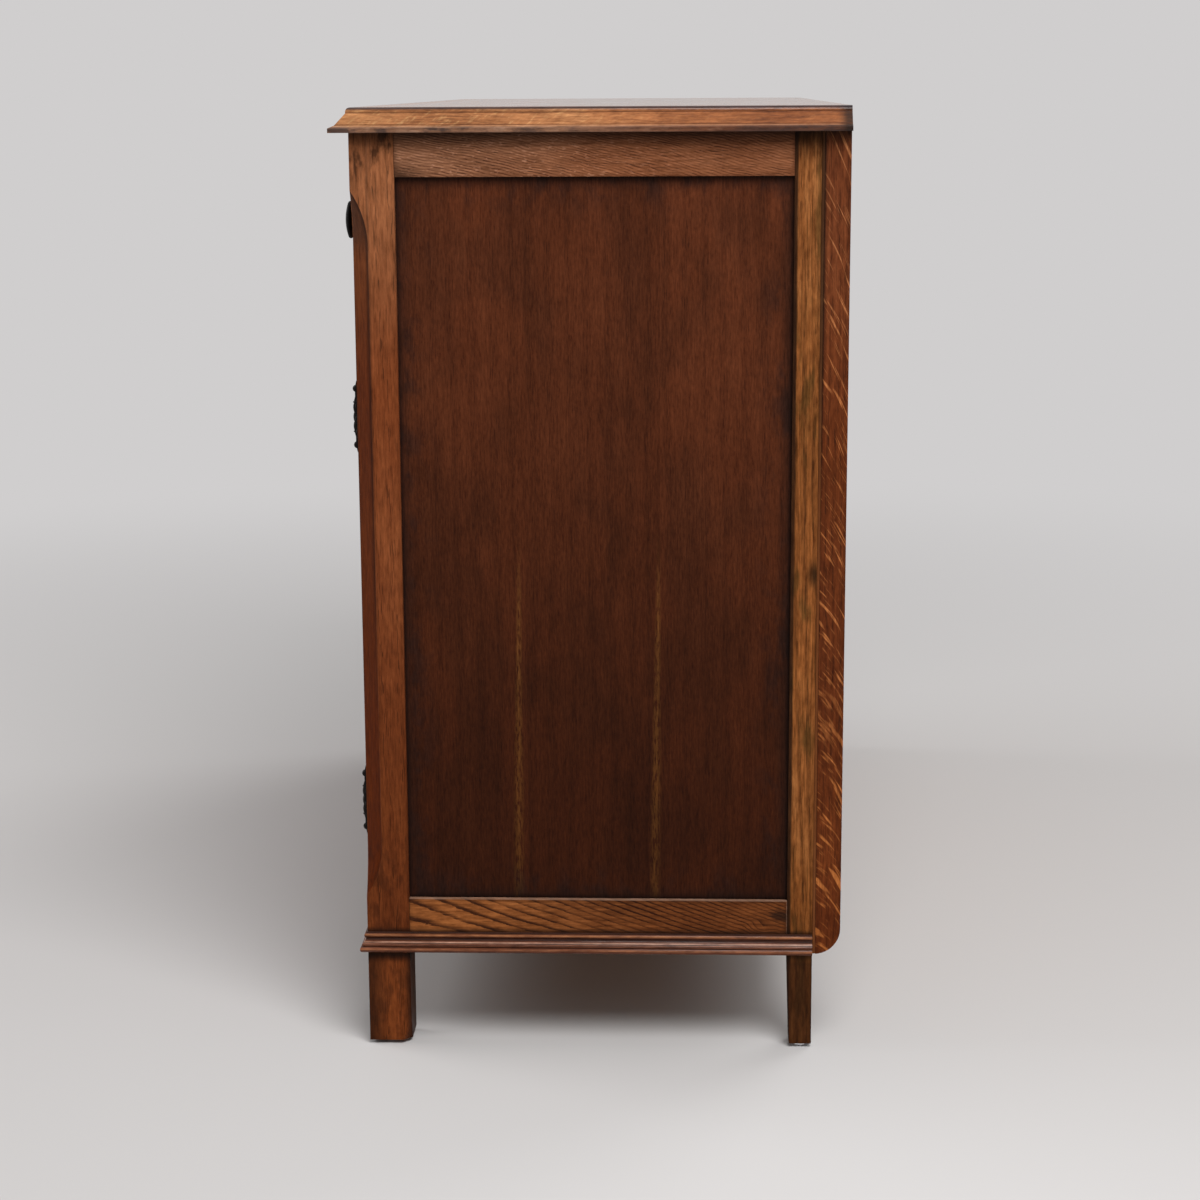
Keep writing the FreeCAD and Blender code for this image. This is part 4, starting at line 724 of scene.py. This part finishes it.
def top_edge_marks(axis):
    """A square greyed by a painted reflection, with scuffs and chips; a painted highlight on the splay; rays
    on the bevel; painted shade on the lower arris, in the creases and on the upper arris; along one axis.
    """
    def marks(g, colour, place):
        x, y, z = place
        rise = g.less(z, UNDER_TOP)
        inset = g.least(g.less(top_edge[1].x, g.size(x)), g.less(y, top_edge[0].y))
        wear = g.drawn(place, axis, *EDGE_WEAR)
        lean = g.add(place[axis], g.times(rise, EDGE_RAY_LEAN))
        spot = [g.times(value, scale) for value, scale in zip((lean, rise, inset), EDGE_RAY_SCALES)]
        rays = g.noise(g.vector(*spot), 1.0, EDGE_RAY_DETAIL, EDGE_RAY_ROUGHNESS)
        colour = g.stain(colour, *PALE_RAYS, g.fade(rays, *PALE_RAY_SPAN), g.fade(y, *PALE_RAY_DEPTH))
        colour = g.stain(colour, DARK_RAYS, g.fade(rays, *DARK_RAY_SPAN))
        colour = g.wash(colour, y, EDGE_WASHES)
        colour = g.stain(colour, *SQUARE_GREY_REFLECTION, g.fade(rise, *SQUARE_REFLECTION_RISE))
        square = g.fade(rise, *SQUARE_RISE)
        colour = g.tint(colour, SQUARE_BACK_TINT, square, g.fade(y, *SQUARE_BACK_DEPTH))
        worn = g.times(g.fade(rise, *WORN_RISE), g.fade(y, *WORN_DEPTH))
        colour = g.stain(colour, *SCUFFS, g.fade(wear, *SCUFF_SPAN), worn)
        colour = g.stain(colour, *CHIPS, g.fade(wear, *CHIP_SPAN), worn)
        colour = g.stain(colour, LOW_ARRIS_SHADE, g.fade(rise, *LOW_ARRIS_SHADE_RISE))
        colour = g.stain(colour, *SPLAY_HIGHLIGHT, g.near(rise, SPLAY_HIGHLIGHT_RISE, SPLAY_HIGHLIGHT_REACH))
        back = g.times(square, g.fade(y, *BACK_SQUARE_DEPTH))
        colour = g.stain(colour, BACK_SQUARE, back, g.fade(wear, *BACK_SQUARE_SPAN))
        colour = g.stain(colour, GRIME_AND_SHADE, g.fade(y, *BACK_END_DEPTH))
        for level in CREASE_SHADE_RISES:
            colour = g.stain(colour, *CREASE_SHADE, g.near(rise, level, CREASE_SHADE_REACH))
        arris = g.times(g.fade(rise, *HIGH_ARRIS_SHADE_RISE), g.fade(inset, *HIGH_ARRIS_SHADE_INSET))
        return g.stain(colour, *HIGH_ARRIS_SHADE, arris)
    return marks


# Boards of the top, side by side
BOARDS = 3
top_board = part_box("top_panel")
BOARD = (top_board[1].y - top_board[0].y) / BOARDS
BOARD_SHIFT = 0.15
BOARD_RISE = 0.4
BOARD_JOINTS = ((BOARD, 0.84), (2 * BOARD, 1.13))
BOARD_JOINT_HALF = 0.0003
BOARD_DIRT = (GRIME_AND_SHADE, 0.5)
BOARD_DIRT_REACH = 0.0006
TOP_TINT = (0.74, 0.78, 0.84)


def top_boards(g, place):
    """Each board has its own part of the log, and every second one is turned end for end."""
    x, y, z = place
    off = g.less(y, top_board[0].y)
    count = g.math("FLOOR", g.times(off, 1 / BOARD))
    end_for_end = g.less(1.0, g.times(g.wrap(count, 2.0), 2.0))
    along = g.add(g.times(x, end_for_end), g.times(count, BOARD_SHIFT))
    return [along, g.less(g.wrap(off, BOARD), BOARD / 2), g.add(z, g.times(count, BOARD_RISE))]


def top_marks(g, colour, place):
    """Boards of differing tone, with dirt in their joints."""
    off = g.less(place[1], top_board[0].y)
    for joint, shade in BOARD_JOINTS:
        beyond = g.fade(off, joint - BOARD_JOINT_HALF, joint + BOARD_JOINT_HALF)
        colour = g.tint(colour, (shade, shade, shade), beyond)
        colour = g.stain(colour, *BOARD_DIRT, g.near(off, joint, BOARD_DIRT_REACH))
    return g.tint(colour, TOP_TINT, 1.0)


# Base moulding, by depth below its upper edge: painted highlights on the members with their reach, strength
# and tone, and hollows darkened by dirt and painted shade, with their reach
MEMBER_HIGHLIGHTS = (
    (0.0030, 0.0016, 0.55, srgb(182, 122, 78)), (0.0103, 0.0011, 0.75, srgb(190, 144, 118)),
    (0.0120, 0.0006, 0.5, srgb(164, 110, 84)), (0.0135, 0.0008, 0.45, srgb(150, 98, 72)),
    (0.0168, 0.0015, 0.5, srgb(174, 114, 78)))
HOLLOWS = (
    (0.0006, 0.0017), (0.0060, 0.0010), (0.0078, 0.0018), (0.0113, 0.0005), (0.0127, 0.0005),
    (0.0147, 0.0007))
HOLLOW_DIRT_AND_SHADE = (srgb(28, 13, 11), 0.85)
BASE_HIGHLIGHT_BREAKS = (ALONG_Z, 4.0, 42.0)
BASE_HIGHLIGHT_BREAK_SPAN = (0.3, 0.6, 0.3, 1.0)


def base_marks(g, colour, place):
    """Painted highlights on the members, and hollows darkened by dirt and painted shade."""
    fall = g.less(moulding[1].z, place[2])
    # Painted highlights on the members, broken up by noise
    worn = g.fade(g.drawn(place, *BASE_HIGHLIGHT_BREAKS), *BASE_HIGHLIGHT_BREAK_SPAN)
    for level, reach, share, tone in MEMBER_HIGHLIGHTS:
        colour = g.stain(colour, tone, g.near(fall, level, reach), worn, share)
    # Dirt and painted shade in the hollows
    for level, reach in HOLLOWS:
        colour = g.stain(colour, *HOLLOW_DIRT_AND_SHADE, g.near(fall, level, reach))
    return colour


# Plywood back and the fronts
PLY_EDGE = (END_X - 0.0016, END_X - 0.0006, 0.0, 0.92)
PLY_STAIN_LOW = srgb(104, 56, 26)
# Painted shade: the edges of the back are dark higher up, where the gap by the back post is in shadow
PLY_EDGE_HIGH_SHADE = srgb(52, 27, 13)
PLY_EDGE_SHADE_HEIGHT = (0.45, 0.80)
HAND_REACH = (0.055, 0.012, 0.0, 0.55)


def ply_marks(g, colour, place):
    """The edges of the back, stained with the ends, and darkened higher up with painted shade."""
    x, _, z = place
    # Stain lower down, painted shade higher up
    stain = g.mix(g.fade(z, *PLY_EDGE_SHADE_HEIGHT), PLY_STAIN_LOW, PLY_EDGE_HIGH_SHADE)
    return g.stain(colour, stain, g.fade(g.size(x), *PLY_EDGE))


def hand_marks(*centres):
    """Polish darkened by hands round knobs, whose centres are given as X and Z."""
    def marks(g, colour, place):
        x, _, z = place
        for centre_x, centre_z in centres:
            off = g.length(g.less(g.size(x), centre_x), g.less(z, centre_z))
            colour = g.stain(colour, GRIME_AND_SHADE, g.fade(off, *HAND_REACH))
        return colour
    return marks


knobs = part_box("drawer_knobs_right")
knob_radius = (knobs[1].z - knobs[0].z) / 2
knob_level = knobs[0].z + knob_radius
door_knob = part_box("door_knob_right")
drawer_marks = hand_marks((knobs[0].x + knob_radius, knob_level), (knobs[1].x - knob_radius, knob_level))
door_marks = hand_marks(((door_knob[0].x + door_knob[1].x) / 2, (door_knob[0].z + door_knob[1].z) / 2))

# The finish of each piece, by the name of its node without its side
materials = {}
end_gap_y = (post[1].y, back_post[0].y)
materials["front_post"] = wood(
    "oak_post", ALONG_Z, FRAME_TONES, straight_figure(spacing=0.009, lean=0.015, warp=0.008), rings=0.05,
    fibre=1.35, box=spans(*post), edge=0.4, extra=post_marks, shine=0.05)
materials["back_post"] = wood(
    "oak_gold", ALONG_Z, GOLD_TONES, straight_figure(spacing=0.005, lean=0.012, warp=0.006), rings=0.25,
    box=spans(*back_post), edge=0.3, extra=gold_marks, shine=0.05)
materials["wall_strip"] = wood(
    "oak_quartered", ALONG_Z, STRIP_TONES, straight_figure(spacing=0.004), rings=0.15, box=spans(*strip),
    extra=fleck_marks)
materials["end_top_rail"] = wood(
    "oak_rail", ALONG_Y, RAIL_TONES, top_rail_figure, rings=0.6, broken=0.8,
    box=spans(*rail_high, y=end_gap_y), extra=rail_marks)
materials["end_bottom_rail"] = wood(
    "oak_rail_low", ALONG_Y, LOW_RAIL_TONES, low_rail_figure, rings=0.88, band=(0.05, 0.08, 0.5), ragged=0.4,
    broken=0.45, patchy=0.5, box=spans(*rail_low, y=end_gap_y), extra=low_rail_marks)
materials["end_panel"] = wood(
    "oak_veneer", ALONG_Z, PANEL_TONES, straight_figure(spacing=0.011, warp=0.008), rings=0.12, fibre=1.5,
    fineness=1.8, broad=0.5, pores=0.45, extra=panel_marks, remap=panel_leaf, shine=0.06)
top_figure = crown_figure(spacing=0.009, side=0, centre=0.0, depth=0.045, taper=0.06)
materials["top_panel"] = wood(
    "oak_top", ALONG_X, TOP_TONES, top_figure, rings=0.45, band=(0.10, 0.16, 0.70), broken=0.5, fibre=1.5,
    extra=top_marks, remap=top_boards, rough=(0.24, 0.34), shine=0.3, coat=0.9)
edge_figure = straight_figure(spacing=0.007, lean=0.02, warp=0.006)
for part, axis, coat in (("top_edge", ALONG_Y, 0.35), ("top_edge_front", ALONG_X, 0.9)):
    materials[part] = wood(
        "oak_" + part, axis, TOP_TONES, edge_figure, rings=0.15, broad=0.7, extra=top_edge_marks(axis),
        rough=(0.3, 0.42), coat=coat)
for part, axis, letter in (("base_moulding", ALONG_Y, "y"), ("base_moulding_front", ALONG_X, "x")):
    materials[part] = wood(
        "oak_moulding_" + letter, axis, MOULDING_TONES, straight_figure(spacing=0.005), rings=0.2,
        extra=base_marks, rough=(0.26, 0.38), shine=0.2, coat=0.08)

plain_figure = straight_figure(spacing=0.006, lean=0.012, warp=0.005)
front_looks = {"rings": 0.2, "edge": 0.5}
for axis, parts in (
        (ALONG_X, ("front_top_rail", "drawer_rail", "front_bottom_rail")),
        (ALONG_Z, ("drawer_divider", "centre_stile"))):
    for part in parts:
        materials[part] = wood(
            "oak_" + part, axis, FRAME_TONES, plain_figure, box=spans(*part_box(part)), **front_looks)
drawer_figure = crown_figure(spacing=0.0085, side=1, centre=0.835, depth=0.012, taper=0.05)
materials["drawer_front"] = wood(
    "oak_drawer", ALONG_X, DRAWER_TONES, drawer_figure, rings=0.3, box=spans(*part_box("drawer_front_right")),
    extra=drawer_marks)
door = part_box("door_stiles_right")
door_middle = (door[0].x + door[1].x) / 2
materials["door_stiles"] = wood(
    "oak_door_stiles", ALONG_Z, FRAME_TONES, plain_figure, box=spans(*door), extra=door_marks, **front_looks)
materials["door_rails"] = wood("oak_door_rails", ALONG_X, FRAME_TONES, plain_figure, **front_looks)
door_figure = crown_figure(spacing=0.012, side=0, centre=door_middle, depth=0.02, taper=0.07)
materials["door_panel"] = wood(
    "oak_door_panel", ALONG_Z, DOOR_TONES, door_figure, rings=0.32, box=spans(*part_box("door_panel_right")),
    edge_reach=0.02)

INNER_PARTS = (
    ("back_rails", "cupboard_floor", "shelf", "drawer_back", "drawer_stops"),
    ("cleats", "drawer_runners", "drawer_guides", "drawer_kickers", "drawer_sides"),
    ("partition",))
for axis, parts in enumerate(INNER_PARTS):
    inner = wood("inner_" + "xyz"[axis], axis, INNER_TONES, plain_figure, rings=0.3, rough=(0.5, 0.65))
    for part in parts:
        materials[part] = inner
ply_figure = straight_figure(spacing=0.024, lean=0.05, warp=0.06, turn=0.0)
for part, axis, marks in (("drawer_bottom", ALONG_X, None), ("back_panel", ALONG_Z, ply_marks)):
    materials[part] = wood(
        "plywood_" + "xyz"[axis], axis, PLY_TONES, ply_figure, rings=0.35, band=(0.3, 0.4, 0.95),
        ragged=0.12, broken=0.4, fibre=0.9, fineness=1.6, pores=0.7, extra=marks, rough=(0.5, 0.65))

# Metal
PITTING_SCALE = 260.0
PITTING_DETAIL = 4.0
PITTING_ROUGHNESS = 0.6
PITTING_SPAN = (0.3, 0.7)
PITTING_DEPTH = 0.0005
PITTING_STRENGTH = 0.5
RUBBED_SPAN = (0.51, 0.58)
RUBBED_SHARE = 0.5


def metal(name, dark, light, metallic, rough, shine):
    """Pitted metal, rubbed light on its outer edges."""
    g = new_material(name)
    field = g.noise(g.vector(*g.place()), PITTING_SCALE, PITTING_DETAIL, PITTING_ROUGHNESS)
    rubbed = g.fade(g.node("ShaderNodeNewGeometry").outputs["Pointiness"], *RUBBED_SPAN)
    colour = g.ramp(field, tuple(zip(PITTING_SPAN, (dark, light))))
    colour = g.stain(colour, light, rubbed, RUBBED_SHARE)
    return g.principled(
        Base_Color=colour, Metallic=metallic, Roughness=g.fade(field, *PITTING_SPAN, *rough),
        Specular_IOR_Level=shine, Normal=g.bump(field, PITTING_DEPTH, PITTING_STRENGTH))


iron = metal("black_iron", srgb(8, 7, 7), srgb(26, 22, 20), metallic=0.0, rough=(0.5, 0.65), shine=0.12)
steel = metal("steel", srgb(120, 120, 122), srgb(190, 190, 192), metallic=1.0, rough=(0.2, 0.38), shine=0.5)
nickel = metal(
    "nickel", srgb(205, 205, 208), srgb(238, 238, 240), metallic=1.0, rough=(0.12, 0.22), shine=0.5)
for part in ("drawer_knobs", "door_knob", "door_catch", "door_hinge_leaves", "hinge_post_leaves",
             "hinge_pins"):
    materials[part] = iron
materials["glides"] = nickel

for name, piece in nodes.items():
    stem, _, side = name.rpartition("_")
    piece.data.materials.clear()
    piece.data.materials.append(materials[stem if side in SIDES else name])


# Soft arrises on all wood, finer on the mouldings
ARRIS = 0.0009
FINE_ARRIS = 0.0003
ARRIS_STEPS = 2
ARRIS_ANGLE = math.radians(35)
WELD_REACH = 1e-5
FINE = ("top_edge", "base_moulding")
METAL = ("knob", "hinge", "catch", "glides")


def soften(piece, width):
    weld = piece.modifiers.new("weld", "WELD")
    weld.merge_threshold = WELD_REACH
    bevel = piece.modifiers.new("bevel", "BEVEL")
    bevel.width = width
    bevel.segments = ARRIS_STEPS
    bevel.limit_method = "ANGLE"
    bevel.angle_limit = ARRIS_ANGLE
    bevel.harden_normals = True


for name, piece in nodes.items():
    if not any(word in name for word in METAL):
        soften(piece, FINE_ARRIS if name.startswith(FINE) else ARRIS)


# Small fasteners
QUARTER_TURN = math.radians(90)
SHARP_ANGLE = math.radians(40)
SCREW_RADIUS = 0.0031
SCREW_DOME = 0.0012
SCREW_SIDES = 20
SCREW_RINGS = 5
SLOT_WIDTH = 0.0008
# Shares of the dome. The slot takes what is above the first, and sinks it by the second,
# or down to the third where that is lower
SLOT_ABOVE = 0.3
SLOT_SINK = 0.08
SLOT_FLOOR = 0.45
NAIL_RADIUS = 0.0024
NAIL_DOME = 0.0006
NAIL_SIDES = 14
# Shares of the nail's radius and dome, from the foot up: a softened rim and a dished face
NAIL_PROFILE = ((1.0, 0.0), (1.0, 0.55), (0.82, 1.0), (0.3, 0.85))


def turned(head, profile, sides):
    """A closed turned form about Z. The profile is radius and height, from the foot up."""
    angles = [math.tau * side / sides for side in range(sides)]
    levels = [
        [head.verts.new((reach * math.cos(angle), reach * math.sin(angle), height)) for angle in angles]
        for reach, height in profile]
    head.faces.new(reversed(levels[0]))
    head.faces.new(levels[-1])
    for below, above in zip(levels, levels[1:]):
        for side in range(sides):
            after = (side + 1) % sides
            head.faces.new((below[side], below[after], above[after], above[side]))


def join(bm, head, place, turn):
    """Adds a head to other geometry, turned and put in its place."""
    bmesh.ops.transform(head, matrix=Matrix.Translation(place) @ turn, verts=head.verts)
    mesh = bpy.data.meshes.new("part")
    head.to_mesh(mesh)
    head.free()
    bm.from_mesh(mesh)
    bpy.data.meshes.remove(mesh)


def screw_head(bm, place, angle):
    """A raised slotted head facing -Y: a dome with a slot sunk across it."""
    head = bmesh.new()
    tilts = [QUARTER_TURN * ring / SCREW_RINGS for ring in range(SCREW_RINGS)]
    profile = [(SCREW_RADIUS * math.cos(tilt), SCREW_DOME * math.sin(tilt)) for tilt in tilts]
    turned(head, profile, SCREW_SIDES)
    for edge in (-SLOT_WIDTH / 2, SLOT_WIDTH / 2):
        geometry = head.verts[:] + head.edges[:] + head.faces[:]
        bmesh.ops.bisect_plane(head, geom=geometry, plane_co=(edge, 0, 0), plane_no=(1, 0, 0))
    cut = []
    for face in head.faces:
        centre = face.calc_center_median()
        if abs(centre.x) < SLOT_WIDTH / 2 and centre.z > SCREW_DOME * SLOT_ABOVE:
            cut.append(face)
    sunk = bmesh.ops.extrude_face_region(head, geom=cut)["geom"]
    bmesh.ops.delete(head, geom=[face for face in cut if face.is_valid], context="FACES")
    for vert in (item for item in sunk if isinstance(item, bmesh.types.BMVert)):
        vert.co.z = min(vert.co.z - SCREW_DOME * SLOT_SINK, SCREW_DOME * SLOT_FLOOR)
    join(bm, head, place, Matrix.Rotation(QUARTER_TURN, 4, "X") @ Matrix.Rotation(angle, 4, "Z"))


def nail_head(bm, place):
    """A flat round head facing +Y."""
    head = bmesh.new()
    turned(head, [(NAIL_RADIUS * across, NAIL_DOME * up) for across, up in NAIL_PROFILE], NAIL_SIDES)
    join(bm, head, place, Matrix.Rotation(-QUARTER_TURN, 4, "X"))


def add_piece(name, bm, material, body):
    mesh = bpy.data.meshes.new(name)
    bm.to_mesh(mesh)
    bm.free()
    mesh.materials.append(material)
    mesh.polygons.foreach_set("use_smooth", [True] * len(mesh.polygons))
    mesh.set_sharp_from_angle(angle=SHARP_ANGLE)
    piece = bpy.data.objects.new(name, mesh)
    bpy.context.scene.collection.objects.link(piece)
    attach(piece, body)


# Hinge leaves, as in the solids: two wings and a tip, each with a screw
WING_REACH = 0.014
WING_RISE = 0.0125
WING_RADIUS = 0.007
TIP_REACH = 0.0175
TIP_RADIUS = 0.005
HINGE_LEAF_THICKNESS = 0.002
SCREW_PLACES = ((WING_REACH, WING_RISE), (WING_REACH, -WING_RISE), (TIP_REACH, 0.0))
SCREW_SEED = 7
post_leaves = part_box("hinge_post_leaves")
hinge_x = post_leaves[1].x - TIP_REACH - TIP_RADIUS
hinge_levels = (post_leaves[1].z - WING_RISE - WING_RADIUS, post_leaves[0].z + WING_RISE + WING_RADIUS)
hinge_face = post_leaves[1].y - HINGE_LEAF_THICKNESS
slot_angles = random.Random(SCREW_SEED)


def hinge_screws(outward, ends):
    """Screw heads of the leaves on one side of the pins, at one or both ends of the sideboard."""
    bm = bmesh.new()
    for end in ends:
        for level in hinge_levels:
            for reach, rise in SCREW_PLACES:
                place = (end * (hinge_x + outward * reach), hinge_face, level + rise)
                screw_head(bm, place, slot_angles.uniform(0, math.pi))
    return bm


add_piece("post_hinge_screws", hinge_screws(1, (1, -1)), iron, "carcase")
for side, end in zip(SIDES, (1, -1)):
    add_piece("door_hinge_screws_" + side, hinge_screws(-1, (end,)), iron, "door_" + side)

# Nails of the back, in three rows
NAIL_SPACING = 0.1
NAILS = 12
NAIL_EDGE = 0.021
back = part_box("back_panel")
drawer_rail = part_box("drawer_rail")
nail_levels = (
    back[1].z - NAIL_EDGE, (drawer_rail[0].z + drawer_rail[1].z) / 2, (rail_low[0].z + rail_low[1].z) / 2)
nails = bmesh.new()
for level in nail_levels:
    for count in range(NAILS):
        nail_head(nails, ((count - (NAILS - 1) / 2) * NAIL_SPACING, back[1].y, level))
add_piece("back_panel_nails", nails, steel, "carcase")

# Floor, which fades into the background away from the sideboard
FLOOR_RADIUS = 14
FLOOR_SIDES = 96
FLOOR_FADE = (0.8, 3.2)
BACKDROP = srgb(208, 206, 206)
FLOOR = srgb(206, 204, 203)


def floor_material():
    g = new_material("pale_floor")
    x, y, _ = g.place()
    pale = g.node("ShaderNodeBsdfDiffuse", {"Color": FLOOR}).outputs[0]
    far = g.node("ShaderNodeEmission", {"Color": BACKDROP, "Strength": 1.0}).outputs[0]
    share = g.times(g.fade(g.length(x, y), *FLOOR_FADE), g.seen())
    return g.surface(g.node("ShaderNodeMixShader", {0: share, 1: pale, 2: far}).outputs[0])


bpy.ops.mesh.primitive_circle_add(vertices=FLOOR_SIDES, radius=FLOOR_RADIUS, fill_type="NGON")
floor = bpy.context.object
floor.name = "floor"
floor.data.materials.append(floor_material())

# Softboxes: name, place, target, diameter and watts
SOFTBOXES = (
    ("key", (2.1, 0.7, 2.7), (0.4, 0.1, 0.5), 1.8, 75),
    ("front_fill", (-0.2, -3.0, 2.6), (0, 0, 0.5), 2.4, 45),
    ("back_fill", (-2.2, 2.4, 2.6), (0, 0, 0.5), 2.4, 45))
AMBIENT = 0.5


def softbox(name, place, target, size, power):
    lamp = bpy.data.lights.new(name, "AREA")
    lamp.shape = "DISK"
    lamp.size = size
    lamp.energy = power
    holder = bpy.data.objects.new(name, lamp)
    holder.location = place
    holder.rotation_euler = (Vector(target) - Vector(place)).to_track_quat("-Z", "Y").to_euler()
    bpy.context.scene.collection.objects.link(holder)


def studio_world():
    """A pale background that gives only part of its light to the object."""
    g = Graph(bpy.data.worlds.new("studio"))
    strength = g.add(AMBIENT, g.times(g.seen(), 1 - AMBIENT))
    sky = g.node("ShaderNodeBackground", {"Color": BACKDROP, "Strength": strength}).outputs[0]
    return g.surface(sky, "ShaderNodeOutputWorld")


for settings in SOFTBOXES:
    softbox(*settings)
bpy.context.scene.world = studio_world()
bpy.context.scene.view_settings.view_transform = "Standard"

# Camera, where the photo was taken from
CAMERA_PLACE = Vector((3.0061, 0.1041, 0.9616))
CAMERA_YAW = math.radians(-2.172)
CAMERA_PITCH = math.radians(11.644)
CAMERA_ROLL = math.radians(-0.286)
CAMERA_LENS = 75.278
CAMERA_SENSOR = 36


def aim():
    """The camera's turn, from its yaw, pitch and roll."""
    ahead = Vector((
        -math.cos(CAMERA_YAW) * math.cos(CAMERA_PITCH),
        math.sin(CAMERA_YAW) * math.cos(CAMERA_PITCH),
        -math.sin(CAMERA_PITCH)))
    level = ahead.cross(Vector((0, 0, 1))).normalized()
    upright = level.cross(ahead)
    right = level * math.cos(CAMERA_ROLL) + upright * math.sin(CAMERA_ROLL)
    return Matrix((right, right.cross(ahead), -ahead)).transposed().to_4x4()


optics = bpy.data.cameras.new("camera")
optics.lens = CAMERA_LENS
optics.sensor_width = CAMERA_SENSOR
camera = bpy.data.objects.new("camera", optics)
camera.matrix_world = Matrix.Translation(CAMERA_PLACE) @ aim()
bpy.context.scene.collection.objects.link(camera)
bpy.context.scene.camera = camera
